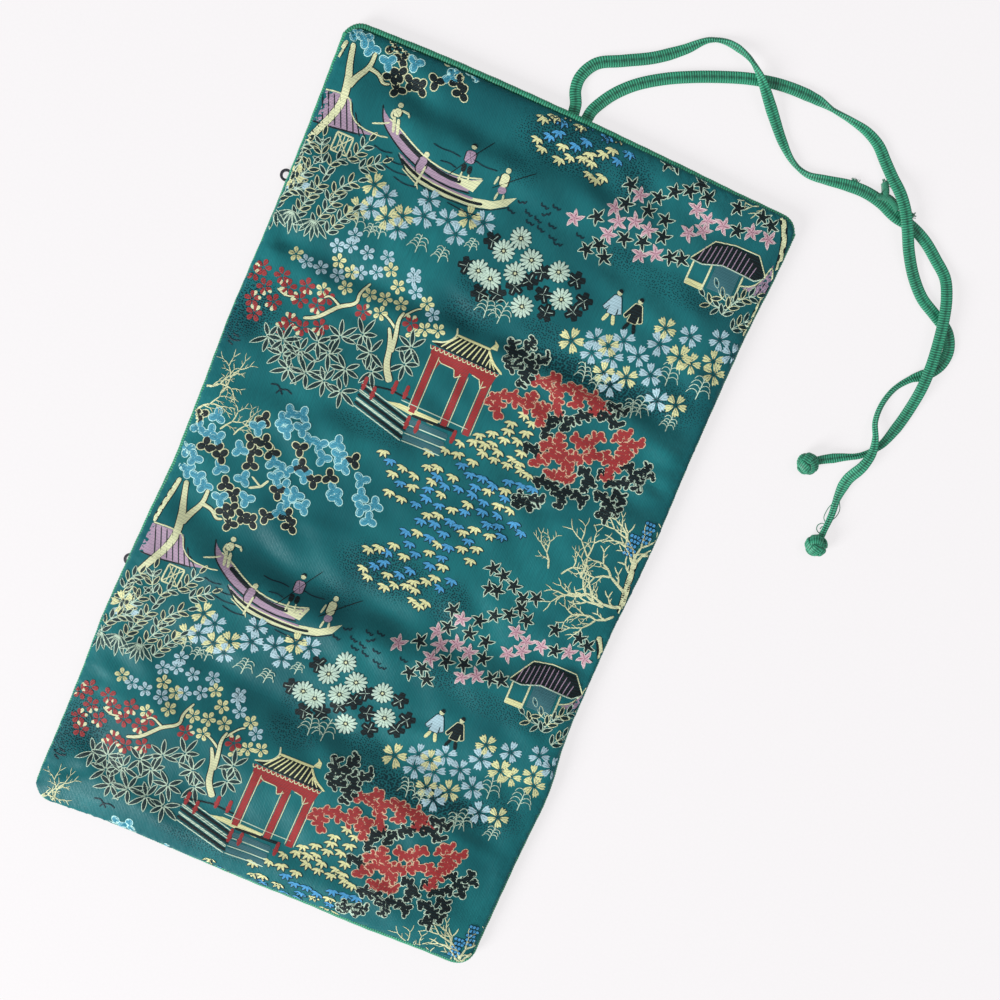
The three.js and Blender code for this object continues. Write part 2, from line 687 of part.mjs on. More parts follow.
for (const [name, segment] of Object.entries(segments)) {
  addLayers(name, segment);
  if (segment.zip !== undefined) addPockets(name, segment);
  if (segment.top === tieEnd || segment.bottom === farEnd) addEndBinding(name, segment);
  else addSideBindings(name, segment);
}
addZip('upper_zip', upperZip);
addZip('lower_zip', lowerZip);
addRingBar();
addSnap();
addTie('left', leftTieRoute, leftKnotCentre);
addTie('right', rightTieRoute, rightKnotCentre);

export default roll;
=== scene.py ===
import math

import bpy
import numpy as np
from mathutils import Matrix, Vector
from mathutils.geometry import tessellate_polygon


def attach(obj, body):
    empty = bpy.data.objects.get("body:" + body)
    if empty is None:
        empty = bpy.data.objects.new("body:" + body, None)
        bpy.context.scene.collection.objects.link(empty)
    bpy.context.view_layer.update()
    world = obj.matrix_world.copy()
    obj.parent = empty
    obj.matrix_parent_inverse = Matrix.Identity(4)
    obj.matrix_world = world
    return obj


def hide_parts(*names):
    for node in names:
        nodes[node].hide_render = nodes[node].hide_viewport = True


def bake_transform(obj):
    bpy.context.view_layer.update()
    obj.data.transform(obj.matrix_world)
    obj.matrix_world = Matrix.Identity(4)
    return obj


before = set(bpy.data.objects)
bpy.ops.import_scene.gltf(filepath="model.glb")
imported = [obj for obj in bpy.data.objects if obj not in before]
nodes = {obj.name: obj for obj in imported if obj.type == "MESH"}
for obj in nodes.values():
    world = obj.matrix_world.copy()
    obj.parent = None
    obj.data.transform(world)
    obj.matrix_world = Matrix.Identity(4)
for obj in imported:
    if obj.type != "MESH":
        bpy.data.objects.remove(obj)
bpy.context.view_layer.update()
MM = 0.001
# Periods of the threads in the satin and the brocade, in metres
SATIN_RIB, WEFT, FLOATS = 0.00062, 0.00058, 0.00125
rng = np.random.default_rng(11)

# Camera and light
scene = bpy.context.scene
scene.view_settings.view_transform = "Standard"


def aim(location, target, up):
    """The placement of something that looks from its location at a target."""
    ahead = (Vector(target) - Vector(location)).normalized()
    right = ahead.cross(Vector(up)).normalized()
    over = right.cross(ahead)
    turn = Matrix((right, over, -ahead)).transposed()
    return Matrix.Translation(Vector(location)) @ turn.to_4x4()


camera = bpy.data.objects.new("camera", bpy.data.cameras.new("camera"))
scene.collection.objects.link(camera)
camera.data.sensor_width = 36
camera.data.lens = 39.6
camera.data.clip_start = 0.01
camera.matrix_world = aim((0.0085, 0.0518, 0.4649), (0.0322, 0.0183, 0.004), (-0.3926, 0.9156, -0.0869))
scene.camera = camera


def area_light(name, location, target, size, power):
    lamp = bpy.data.lights.new(name, "AREA")
    lamp.shape = "DISK"
    lamp.size = size
    lamp.energy = power
    obj = bpy.data.objects.new(name, lamp)
    scene.collection.objects.link(obj)
    obj.matrix_world = aim(location, target, (0, 0.2, 1))


area_light("key", (-1.85, -2.75, 1.7), (0.02, 0, 0), 1.75, 214)
area_light("fill", (0.9, 0.9, 1.8), (0.02, 0, 0), 1.6, 8)
world = bpy.data.worlds.new("studio")
world.use_nodes = True
world.node_tree.nodes["Background"].inputs["Color"].default_value = (0.93, 0.95, 1, 1)
world.node_tree.nodes["Background"].inputs["Strength"].default_value = 0.36
scene.world = world


# Helpers for meshes and materials
def add_object(name, points, faces, material, floats=None, colours=None):
    """A mesh object from points in millimetres; an attribute keeps its place at rest for the materials."""
    mesh = bpy.data.meshes.new(name)
    points = np.asarray(points, float) * MM
    mesh.from_pydata(points.tolist(), [], [list(f) for f in faces])
    mesh.polygons.foreach_set("use_smooth", np.ones(len(mesh.polygons), bool))
    cloth = mesh.attributes.new("cloth", "FLOAT_VECTOR", "POINT")
    cloth.data.foreach_set("vector", points.ravel())
    for key, values in (floats or {}).items():
        attribute = mesh.attributes.new(key, "FLOAT", "POINT")
        attribute.data.foreach_set("value", np.asarray(values, np.float32))
    for key, values in (colours or {}).items():
        attribute = mesh.attributes.new(key, "FLOAT_COLOR", "POINT")
        attribute.data.foreach_set("color", np.asarray(values, np.float32).ravel())
    mesh.materials.append(material)
    mesh.update()
    obj = bpy.data.objects.new(name, mesh)
    scene.collection.objects.link(obj)
    return obj


def grid_faces(rows, columns, close=False, start=0, flip=False):
    """Quads of a grid whose points run row by row; close joins the last column to the first."""
    faces = []
    for row in range(rows - 1):
        for column in range(columns if close else columns - 1):
            a = start + row * columns + column
            b = start + row * columns + (column + 1) % columns
            quad = (a, b, b + columns, a + columns)
            faces.append(quad[::-1] if flip else quad)
    return faces


def tube_mesh(rings):
    """Points and faces of a tube with closed ends through rings of equally many points."""
    rings = np.asarray(rings, float)
    count, sides = rings.shape[:2]
    faces = grid_faces(count, sides, close=True)
    points = rings.reshape(-1, 3)
    faces.append(tuple(range(sides))[::-1])
    faces.append(tuple((count - 1) * sides + side for side in range(sides)))
    return points, faces


def closed_sheet(name, upper, lower, material, flip=False):
    """A cloth or pad between two grids of points; flip turns its faces over."""
    rows, columns = upper.shape[:2]
    count = rows * columns
    faces = grid_faces(rows, columns, flip=flip) + grid_faces(rows, columns, start=count, flip=not flip)
    edge = list(range(columns)) + [r * columns + columns - 1 for r in range(1, rows)]
    edge += [(rows - 1) * columns + c for c in range(columns - 2, -1, -1)]
    edge += [r * columns for r in range(rows - 2, 0, -1)]
    for a, b in zip(edge, edge[1:] + edge[:1]):
        faces.append((a, b, b + count, a + count) if flip else (b, a, a + count, b + count))
    return add_object(name, np.concatenate([upper.reshape(-1, 3), lower.reshape(-1, 3)]), faces, material)


def distances(line):
    """How far along a line each of its points lies."""
    return np.concatenate([[0], np.cumsum(np.linalg.norm(np.diff(line, axis=0), axis=1))])


def units(vectors):
    return vectors / np.maximum(1e-9, np.linalg.norm(vectors, axis=1))[:, None]


def leftwards(line):
    """Unit vectors to the left of a line in the plane."""
    ahead = np.gradient(line, axis=0)
    return units(np.column_stack([-ahead[:, 1], ahead[:, 0]]))


def wire_rings(line, radius, lean, sides=5):
    """Rings of a round wire along a line that never runs in the direction lean."""
    ahead = units(np.gradient(line, axis=0))
    aside = units(np.cross(ahead, lean))
    over = np.cross(ahead, aside)
    angles = 2 * math.pi * np.arange(sides)[:, None] / sides
    return line[:, None] + radius * (aside[:, None] * np.cos(angles) + over[:, None] * np.sin(angles))


def joined(parts):
    """Several (points, faces) pairs as one."""
    points, faces, start = [], [], 0
    for part_points, part_faces in parts:
        points.append(np.asarray(part_points, float))
        faces += [tuple(i + start for i in face) for face in part_faces]
        start += len(part_points)
    return np.concatenate(points), faces


def table(text):
    """Rows of numbers, such as the places x,y of figures: spaces part the rows and commas the numbers."""
    return [tuple(float(value) for value in row.split(",")) for row in text.split()]


def linear(*rgb):
    """A colour given as 0 to 255, as the shader wants it."""
    shares = [c / 255 for c in rgb]
    return tuple(c / 12.92 if c <= 0.04045 else ((c + 0.055) / 1.055) ** 2.4 for c in shares) + (1,)


def waves(shade, place, period):
    """Even ribs with this period along one axis of the cloth."""
    return shade.math("SINE", shade.math("MULTIPLY", place, 2 * math.pi / period))


class Shade:
    """A small builder of node materials."""

    def __init__(self, name, **sockets):
        self.material = bpy.data.materials.new(name)
        self.material.use_nodes = True
        self.tree = self.material.node_tree
        self.shader = self.tree.nodes["Principled BSDF"]
        for key, value in sockets.items():
            self.shader.inputs[key.replace("_", " ")].default_value = value

    def node(self, kind, inputs=(), **settings):
        made = self.tree.nodes.new(kind)
        for key, value in settings.items():
            setattr(made, key, value)
        for key, value in dict(inputs).items():
            if isinstance(value, bpy.types.NodeSocket):
                self.tree.links.new(value, made.inputs[key])
            else:
                made.inputs[key].default_value = value
        return made

    def math(self, operation, a, b=0.0, clamp=False):
        return self.node("ShaderNodeMath", {0: a, 1: b}, operation=operation, use_clamp=clamp).outputs[0]

    def attribute(self, name, output="Vector"):
        return self.node("ShaderNodeAttribute", attribute_name=name).outputs[output]

    def stretched(self, vector, scale):
        return self.node("ShaderNodeMapping", {"Vector": vector, "Scale": scale}).outputs[0]

    def noise(self, vector, scale, detail):
        inputs = {"Vector": vector, "Scale": scale, "Detail": detail, "Roughness": 0.55}
        return self.node("ShaderNodeTexNoise", inputs).outputs["Fac"]

    def ranged(self, value, low, high, to_low=0.0, to_high=1.0):
        made = self.node("ShaderNodeMapRange", {0: value, 1: low, 2: high, 3: to_low, 4: to_high})
        return made.outputs[0]

    def mix(self, share, a, b, blend="MIX"):
        made = self.node("ShaderNodeMix", {0: share, 6: a, 7: b}, data_type="RGBA", blend_type=blend)
        return made.outputs[2]

    def to(self, socket, value):
        self.tree.links.new(value, self.shader.inputs[socket])

    def bump(self, height, distance, strength):
        made = self.node("ShaderNodeBump", {"Height": height, "Distance": distance, "Strength": strength})
        self.to("Normal", made.outputs[0])


def satin_material(name, deep, middle, bright, roughness, stippled=False):
    """Satin with fine lengthwise ribs; where the stipple attribute is high, small dark floats show."""
    shade = Shade(
        name, Roughness=roughness, Specular_IOR_Level=0.12, Sheen_Weight=0.02, Sheen_Roughness=0.35,
        Sheen_Tint=bright,
    )
    place = shade.attribute("cloth")
    x, y, _ = shade.node("ShaderNodeSeparateXYZ", {0: place}).outputs
    broad = shade.noise(place, 26, 2)
    streaks = shade.noise(shade.stretched(place, (1, 0.07, 1)), 1900, 2)
    slubs = shade.noise(shade.stretched(place, (1, 0.02, 1)), 500, 2)
    ribs = waves(shade, shade.math("ADD", x, shade.math("MULTIPLY", y, 0.12)), SATIN_RIB)
    colour = shade.mix(shade.ranged(broad, 0.35, 0.68), deep, bright)
    colour = shade.mix(0.55, colour, middle)
    colour = shade.mix(shade.ranged(streaks, 0.3, 0.75, 0.0, 0.34), colour, deep)
    colour = shade.mix(shade.ranged(ribs, -1, 1, 0.0, 0.16), colour, deep)
    height = shade.math("ADD", shade.math("MULTIPLY", ribs, 0.35), shade.math("MULTIPLY", streaks, 1.3))
    height = shade.math("ADD", height, shade.math("MULTIPLY", slubs, 0.8))
    if stippled:
        cells = shade.node(
            "ShaderNodeTexVoronoi",
            {"Vector": shade.stretched(place, (1, 1.15, 1)), "Scale": 900.0, "Randomness": 0.7},
            voronoi_dimensions="2D",
        )
        stippled_here = shade.attribute("stipple", "Fac")
        dots = shade.math("SUBTRACT", stippled_here, shade.math("MULTIPLY", cells.outputs["Distance"], 1.15))
        dots = shade.math("MULTIPLY", dots, 6.0, clamp=True)
        colour = shade.mix(shade.math("MULTIPLY", stippled_here, 0.5), colour, deep)
        colour = shade.mix(shade.math("MULTIPLY", dots, 0.85), colour, linear(4, 34, 42))
        height = shade.math("SUBTRACT", height, shade.math("MULTIPLY", dots, 1.8))
    shade.to("Base Color", colour)
    shade.to("Roughness", shade.ranged(streaks, 0.2, 0.8, roughness - 0.06, roughness + 0.12))
    shade.bump(height, 0.00012, 0.55)
    return shade.material


def braid_material(name):
    """Ribbed green braid: the groove attribute paints shade between the ribs, along middle grooves, at the
    edges and over the hidden knot core, and the crown attribute paints a highlight on the rib tops.
    """
    shade = Shade(
        name, Roughness=0.5, Sheen_Weight=0.35, Sheen_Roughness=0.4, Sheen_Tint=linear(120, 220, 180),
    )
    place = shade.attribute("cloth")
    along = shade.noise(place, 60, 2)
    fibre = shade.noise(place, 3800, 2)
    colour = shade.mix(shade.ranged(along, 0.35, 0.65), linear(14, 116, 84), linear(24, 142, 104))
    colour = shade.mix(shade.ranged(fibre, 0.3, 0.7, 0.0, 0.3), colour, linear(52, 170, 130))
    # Painted highlight: a lighter colour on the rib tops
    crown = shade.math("MULTIPLY", shade.attribute("crown", "Fac"), 0.5)
    colour = shade.mix(crown, colour, linear(96, 196, 158))
    # Painted shade: a darker colour between the ribs, in grooves and at the edges
    colour = shade.mix(shade.attribute("groove", "Fac"), colour, linear(4, 60, 45))
    shade.to("Base Color", colour)
    shade.to("Roughness", shade.ranged(fibre, 0.2, 0.8, 0.42, 0.66))
    shade.bump(fibre, 0.0001, 0.5)
    return shade.material


def wadding_material():
    shade = Shade("wadding", Roughness=0.95, Sheen_Weight=0.3)
    place = shade.attribute("cloth")
    fluff = shade.noise(place, 700, 5)
    colour = shade.mix(shade.ranged(fluff, 0.3, 0.7), linear(226, 224, 214), linear(244, 243, 237))
    shade.to("Base Color", colour)
    shade.to("Roughness", shade.ranged(fluff, 0.2, 0.8, 0.88, 1.0))
    shade.bump(fluff, 0.0006, 0.6)
    return shade.material


def weave_material(name, base, light, period, roughness):
    """Plain woven tape: fine crossing ribs."""
    shade = Shade(name, Roughness=roughness, Sheen_Weight=0.2)
    place = shade.attribute("cloth")
    x, y, _ = shade.node("ShaderNodeSeparateXYZ", {0: place}).outputs
    weave = shade.math("MULTIPLY", waves(shade, x, period), waves(shade, y, period))
    patchy = shade.noise(place, 300, 3)
    colour = shade.mix(shade.ranged(weave, -1, 1, 0.0, 0.6), base, light)
    colour = shade.mix(shade.ranged(patchy, 0.3, 0.7, 0.0, 0.35), colour, base)
    shade.to("Base Color", colour)
    shade.to("Roughness", shade.ranged(patchy, 0.2, 0.8, roughness - 0.08, min(1, roughness + 0.1)))
    shade.bump(weave, 0.00015, 0.6)
    return shade.material


def metal_material(name, bright, dull, roughness):
    shade = Shade(name, Metallic=1.0, Roughness=roughness)
    place = shade.node("ShaderNodeTexCoord").outputs["Object"]
    wear = shade.noise(place, 900, 4)
    brushed = shade.noise(shade.stretched(place, (0.05, 1, 1)), 5200, 2)
    shade.to("Base Color", shade.mix(shade.ranged(wear, 0.35, 0.7), bright, dull))
    shade.to("Roughness", shade.ranged(wear, 0.3, 0.75, roughness - 0.08, roughness + 0.2))
    shade.bump(brushed, 0.00004, 0.4)
    return shade.material


satin = satin_material(
    "brocade_satin", linear(14, 73, 79), linear(25, 101, 106), linear(36, 127, 129), 0.42, stippled=True,
)
maroon = satin_material("lining_satin", linear(58, 10, 20), linear(92, 20, 32), linear(128, 38, 50), 0.4)
green = braid_material("green_braid")
padding = wadding_material()
tape_cloth = weave_material("zip_tape_weave", linear(66, 14, 24), linear(104, 30, 40), 0.0007, 0.8)
nylon = weave_material("zip_nylon", linear(80, 16, 28), linear(132, 44, 56), 0.0011, 0.42)
brass = metal_material("aged_brass", linear(196, 160, 92), linear(138, 104, 52), 0.34)
steel = metal_material("dark_metal", linear(96, 98, 104), linear(52, 53, 58), 0.4)
thread = weave_material("stitch_thread", linear(14, 100, 74), linear(44, 160, 122), 0.0004, 0.6)


# The roll's shape
def smooth(t):
    """An even step from 0 to 1."""
    t = np.clip(t, 0, 1)
    return t * t * (3 - 2 * t)


def plateau(offset, flat, fall):
    """1 up to a distance of flat on both sides, then falling to 0."""
    return 1 - smooth((np.abs(offset) - flat) / fall)


def eased(places, values, reach=14):
    """A smooth curve through a few control values."""
    grid = np.arange(-240.0, 240.5, 1.0)
    window = np.hanning(2 * reach + 1)
    line = np.interp(grid, places, values)
    line = np.convolve(np.pad(line, reach, mode="edge"), window / window.sum(), mode="valid")
    return lambda t: np.interp(t, grid, line)


# Lengths in millimetres, from the middle of the roll: x to the right, y towards the ties
WIDTH, END_Y, BEYOND = 203, 176.0, 200.0
ZIPS = {"upper": ("tie_panel", 106.6), "lower": ("middle_panel", -66.5)}
UPPER_ZIP_Y, LOWER_ZIP_Y, BAR_Y = ZIPS["upper"][1], ZIPS["lower"][1], -127.0
HINGE_HEIGHT = 7.3
BEAD, BEAD_HEIGHT = 1.6, 3.7
CORNER = 7.2
COVER_CORNER, PAD_CORNER, LINING_CORNER = CORNER - 1.5, CORNER - 3, CORNER - 1.6
PAD_INSET, LINING_INSET = 3.4, 2.9
PAD_WIDTH, POCKET_WIDTH = 196, 196
CLOTH = 0.22
left_edge = eased(
    (-176, -164, -140, -116, -92, -72, -44, -20, 0, 12, 44, 84, 124, 164, 176),
    (
        -102.4, -102.6, -102.1, -102.2, -103.0, -102.2, -101.2, -99.7, -100.1, -100.2, -101.2, -100.4,
        -100.3, -101.3, -101.5,
    ),
)
right_edge = eased(
    (-176, -160, -120, -92, -84, -74, -60, -40, -12, 4, 28, 60, 100, 124, 148, 176),
    (100.6, 100.7, 101.2, 102.3, 101.8, 99.8, 98.8, 98.7, 98.6, 99.6, 100.2, 99.4, 99.3, 99.5, 101.0, 101.4),
)
tie_edge = eased(
    (-100, -84, -60, -30, 0, 20, 48, 70, 90, 100),
    (174.6, 175.2, 176.0, 176.3, 176.1, 175.6, 174.9, 174.0, 173.7, 173.6),
)
far_edge = eased(
    (-100, -84, -68, -48, -24, 0, 24, 48, 76, 96),
    (-176.4, -175.6, -174.9, -175.3, -175.9, -176.3, -176.1, -176.7, -176.0, -176.0),
)
# How much of the binding shows beside the cover, seen from above
left_show = eased((-170, -60, -20, 60, 170), (0.9, 1.1, 1.7, 0.8, 1.6))
right_show = eased((-170, -60, 0, 100, 170), (1.2, 0.7, 0.6, 0.7, 1.0))
tie_show = eased((-100, -20, 10, 60, 100), (3.1, 3.2, 2.7, 1.9, 1.6))
far_show = eased((-100, -40, 20, 60, 100), (0.9, 1.0, 1.7, 2.1, 1.7))


def puckers(t, seed):
    """Small uneven scallops along an edge."""
    scallops = 0.16 * np.sin(t * 1.53 + seed) + 0.12 * np.sin(t * 0.87 + 2.1 * seed)
    return scallops + 0.07 * np.sin(t * 2.9 + 0.7 * seed)


def cover_left(y):
    return left_edge(y) + left_show(y) + puckers(y, 1.0)


def cover_right(y):
    return right_edge(y) - right_show(y) + puckers(y, 2.0)


def cover_tie(x):
    return tie_edge(x) - tie_show(x) + 0.5 * puckers(x, 3.0)


def cover_far(x):
    return far_edge(x) + far_show(x) + puckers(x, 4.0)


def edge_distance(x, y):
    """Distance inwards from the edge of the cover."""
    side = np.minimum(x - cover_left(y), cover_right(y) - x)
    end = np.minimum(cover_tie(x) - y, y - cover_far(x))
    round_off = COVER_CORNER - np.hypot(COVER_CORNER - side, COVER_CORNER - end)
    in_corner = (side < COVER_CORNER) & (end < COVER_CORNER)
    return np.maximum(0, np.where(in_corner, round_off, np.minimum(side, end)))


# Creases across the roll: places of the line at these x, its strength there, and its half width
CREASE_X = (-100, -60, -20, 20, 60, 100)
CREASES = [
    ((157, 150, 149, 151, 150, 147), (1.0, 1.7, 1.6, 1.0, 0.7, 0.5), 6.5),
    ((80, 75, 77, 78, 74, 70), (0.8, 1.4, 1.4, 1.1, 1.3, 1.35), 5.0),
    ((16, 20, 24, 27, 33, 38), (0.6, 0.75, 0.6, 0.5, 0.7, 0.9), 6.0),
    ((-35, -48, -52, -51, -47, -38), (1.0, 2.1, 2.2, 1.9, 1.5, 1.4), 7.2),
    ((-94, -97, -101, -103, -99, -94), (0.4, 0.6, 1.0, 1.0, 0.8, 0.7), 5.5),
    ((-150, -154, -157, -158, -154, -150), (1.1, 1.2, 1.2, 1.1, 1.0, 0.9), 9.0),
]
# Short wrinkles: middle x, y, turn in degrees, half length, half width, strength
WRINKLES = table(
    "90,66,-6,13,2.6,0.45 93,56,4,11,2.2,0.4 95,46,-8,12,2.2,0.45 94,-36,12,12,2.4,0.7 96,-48,-10,10,2,0.4 "
    "95,-92,6,12,2.2,0.35 -95,78,10,12,2.6,0.45 -97,-24,-14,9,2.2,0.4 -94,118,8,10,2.2,0.3 "
    "-95,-118,-6,12,2.4,0.4 60,22,8,22,3,0.4 -60,64,-5,24,3,0.35 30,-84,5,26,3.2,0.4 -40,-20,6,24,3,0.25 "
    "80,-120,-10,16,2.8,0.4 92,100,-5,12,2.4,0.35 -88,-160,30,12,2.4,0.4 88,-165,-35,10,2.2,0.35 "
    "86,160,24,14,2.6,0.3 20,130,3,30,3.4,0.25"
)
# Broad faint swells: waves across and along in one millimetre, phase and strength
SWELLS = rng.uniform((0.012, 0.02, 0, 0.05), (0.05, 0.085, 6.28, 0.12), (9, 4))


def fold_shape(q):
    """A ridge at -1 beside a groove at 1."""
    return -q * np.exp(0.5 - 0.5 * q * q)


def relief(x, y):
    """The soft folds of the cover, in millimetres above the padded shape."""
    total = np.zeros(np.broadcast(x, y).shape)
    for places, strengths, half in CREASES:
        line = eased(CREASE_X, places, 12)(x)
        strength = eased(CREASE_X, strengths, 12)(x)
        total = total + strength * fold_shape((y - line) / half)
    for middle_x, middle_y, turn, reach, half, strength in WRINKLES:
        c, s = math.cos(math.radians(turn)), math.sin(math.radians(turn))
        along = (x - middle_x) * c + (y - middle_y) * s
        across = -(x - middle_x) * s + (y - middle_y) * c
        total = total + strength * np.exp(-((along / reach) ** 2)) * fold_shape(across / half)
    for kx, ky, phase, amount in SWELLS:
        total = total + amount * np.sin(6.283 * (kx * x + ky * y) + phase)
    return total


def mound(offset, flat, fall, skirt):
    """A rise with one slope shorter than the other, which lies towards the far edge."""
    return plateau(offset, flat, np.where(offset > 0, fall, skirt))


def ridges(x, y):
    """What lies under the padding and lifts it: two zips and the ring bar."""
    zips = 1.3 * (mound(y - UPPER_ZIP_Y, 7.5, 14, 20) + mound(y - LOWER_ZIP_Y, 7.5, 14, 20))
    bar = 4.7 * plateau(x, 64, 28) * mound(y - BAR_Y, 5, 21, 70)
    return zips + bar


def cover_height(x, y):
    """The height of the cover: a seam at the edge, gathers beside it, a rounded shoulder and the folds."""
    distance = edge_distance(x, y)
    crown = np.sqrt(1 - (1 - np.clip(distance / 14, 0, 1)) ** 2)
    show = 3.2 - np.minimum(3.2, np.minimum(
        np.where(x < 0, np.abs(x - left_edge(y)), np.abs(right_edge(y) - x)),
        np.where(y > 0, np.abs(tie_edge(x) - y), np.abs(y - far_edge(x))),
    ))
    edge = 5.0 + 0.2 * np.clip(show, 0, 3)
    gathers = 0.2 * np.sin(1.55 * (x + y) + 1.3 * np.sin(0.21 * (x - y)))
    gathers = gathers * np.exp(-((distance - 2.2) / 2.2) ** 2)
    rise = ridges(x, y) + relief(x, y) * smooth(distance / 9)
    return edge + (HINGE_HEIGHT - edge + rise) * crown + gathers


STEP = 1.25
SPLITS = (49.0, -27.5, -97.0)
HINGES = (65.0, 33.0, -88.0, -106.0)
# Each patch of a layer: its name, its two bodies, its top and bottom, and the hinge that it crosses
PATCHES = [
    ("tie", "tie_spine", "tie_panel", BEYOND, SPLITS[0], HINGES[0]),
    ("upper", "middle_panel", "tie_spine", SPLITS[0], SPLITS[1], HINGES[1]),
    ("lower", "middle_panel", "end_spine", SPLITS[1], SPLITS[2], HINGES[2]),
    ("end", "end_spine", "end_flap", SPLITS[2], -BEYOND, HINGES[3]),
]


def bend(obj):
    """Bakes the object's transform into its mesh."""
    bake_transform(obj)


def footprint(top, bottom, step, columns, left, right, tie, far, corner):
    """A grid of places that fills the outline between two rows: points [row, column, xy]."""
    shares = np.linspace(0, 1, columns)
    inner_top, inner_bottom = min(top, END_Y), max(bottom, -END_Y)
    rows = np.linspace(inner_top, inner_bottom, max(3, int(round((inner_top - inner_bottom) / step)) + 1))
    nominal = -100 + 200 * shares
    places = np.zeros((len(rows), columns, 2))
    for row, row_y in enumerate(rows):
        y = np.full(columns, row_y)
        if top > END_Y:
            reach = (row_y - rows[-1]) / (rows[0] - rows[-1])
            y = rows[-1] + (tie(nominal) - rows[-1]) * reach
        if bottom < -END_Y:
            reach = (rows[0] - row_y) / (rows[0] - rows[-1])
            y = rows[0] + (far(nominal) - rows[0]) * reach
        end = np.minimum(tie(nominal) - y, y - far(nominal))
        cut = corner - np.sqrt(np.maximum(0, corner**2 - np.maximum(0, corner - end) ** 2))
        low, high = left(y) + cut, right(y) - cut
        places[row, :, 0] = low + (high - low) * shares
        places[row, :, 1] = y
    return places


def rim_loop(rows, columns, top, bottom):
    """Indices of the outer edge of a patch, in order, as (row, column)."""
    up_left = [(row, 0) for row in range(rows - 1, -1, -1)]
    down_right = [(row, columns - 1) for row in range(rows)]
    if top > END_Y:
        return [up_left + [(0, column) for column in range(1, columns - 1)] + down_right]
    if bottom < -END_Y:
        across = [(rows - 1, column) for column in range(columns - 2, 0, -1)]
        return [down_right + across + up_left]
    return [up_left, down_right]


def sheet_patch(
    name, patch, face, material, outline, rim=(), flip=False, step=STEP, floats=None, corner=CORNER,
):
    """One patch of a layer of cloth, with rows added along its rim as (outwards, down) steps."""
    _, _, _, top, bottom, _ = patch
    columns = int(round(WIDTH / step))
    places = footprint(top, bottom, step, columns, *outline, corner)
    rows = len(places)
    heights = face(places[..., 0], places[..., 1])
    points = np.dstack([places, heights]).reshape(-1, 3).tolist()
    faces = grid_faces(rows, columns, flip=not flip)
    for loop in rim_loop(rows, columns, top, bottom):
        index = [row * columns + column for row, column in loop]
        line = np.array([points[i] for i in index])
        outwards = leftwards(line[:, :2])
        previous = index
        for out, down in rim:
            start = len(points)
            ring = line + np.column_stack([outwards * out, np.full(len(line), -down)])
            points += ring.tolist()
            current = list(range(start, start + len(line)))
            for k in range(len(line) - 1):
                quad = (previous[k], previous[k + 1], current[k + 1], current[k])
                faces.append(quad[::-1] if flip else quad)
            previous = current
    points = np.array(points)
    values = {key: value(points[:, 0], points[:, 1]) for key, value in (floats or {}).items()}
    return add_object(name, points, faces, material, floats=values)


# Soft dark stippling in the woven ground: middle x, y, half sizes, strength. It repeats with the pattern.
REPEAT = 190.3
STIPPLE = table(
    "0,162,24,12,0.5 30,160,10,12,0.45 -14,146,12,8,0.3 66,127,32,7,0.36 40,130,10,6,0.4 -92,52,12,14,0.5 "
    "-98,42,8,8,0.45 -28,25,22,6,0.36 -10,84,14,8,0.42 50,80,44,7,0.6 22,90,14,6,0.4 84,84,16,12,0.36 "
    "-16,96,5,6,0.35 92,92,8,10,0.2 16,20,10,5,0.2"
)


def stipple(x, y):
    total = np.zeros(np.shape(x))
    for shift in (0, -REPEAT):
        for middle_x, middle_y, half_x, half_y, strength in STIPPLE:
            far_off = ((x - middle_x) / half_x) ** 2 + ((y - middle_y - shift) / half_y) ** 2
            total = np.maximum(total, strength * np.exp(-(far_off**2.2)))
    return total


cover_outline = (cover_left, cover_right, cover_tie, cover_far)


def inner_outline(inset):
    """The outline's four edges, moved inwards."""
    return (
        lambda y: left_edge(y) + inset, lambda y: right_edge(y) - inset,
        lambda x: tie_edge(x) - inset, lambda x: far_edge(x) + inset,
    )


pad_outline = inner_outline(PAD_INSET)
lining_outline = inner_outline(LINING_INSET)


def layer_distance(x, y):
    """Distance inwards from the edge of the padding."""
    side = np.minimum(x - left_edge(y) - PAD_INSET, right_edge(y) - PAD_INSET - x)
    end = np.minimum(tie_edge(x) - PAD_INSET - y, y - far_edge(x) - PAD_INSET)
    return np.maximum(0, np.minimum(side, end))


def arch(x, y):
    """How far the zips and the ring bar push the lining up."""
    zips = 4.9 * (plateau(y - UPPER_ZIP_Y, 7.5, 14) + plateau(y - LOWER_ZIP_Y, 7.5, 14))
    return zips + 7.1 * plateau(x, 74, 14) * plateau(y - BAR_Y, 9, 10)


def lining_height(x, y):
    """The height of the lining, which rises from its sewn edge over what it holds."""
    distance = layer_distance(x, y)
    on_flap = smooth((HINGES[3] - y) / 3) * 0.9
    gathers = 0.1 * np.sin(1.1 * (x + y)) * np.exp(-((distance - 2) / 2.5) ** 2)
    slack = 0.12 * np.sin(0.21 * x + 0.5 * np.sin(0.13 * y)) * np.sin(0.17 * y + 0.6)
    flat = 1.2 - on_flap + arch(x, y) + np.maximum(slack, -0.1)
    return 3.2 + (flat - 3.2) * smooth(distance / 6) + gathers


def wadding_top(x, y):
    return cover_height(x, y) - 0.9


def wadding_bottom(x, y):
    return np.minimum(lining_height(x, y) + 0.7, wadding_top(x, y) - 0.3)


def pad_patch(name, patch, step=4.0):
    """A closed pad of wadding between the lining and the cover."""
    _, _, _, top, bottom, _ = patch
    places = footprint(top, bottom, step, int(round(PAD_WIDTH / step)), *pad_outline, PAD_CORNER)
    upper = np.dstack([places, wadding_top(places[..., 0], places[..., 1])])
    lower = np.dstack([places, wadding_bottom(places[..., 0], places[..., 1])])
    return closed_sheet(name, upper, lower, padding, flip=True)


# Binding
RIB = 1.08
# Round the corners the binding's middle line has this radius, and beyond this y the corners begin
BEND_RADIUS, STRAIGHT_Y = 6.9, 168.0


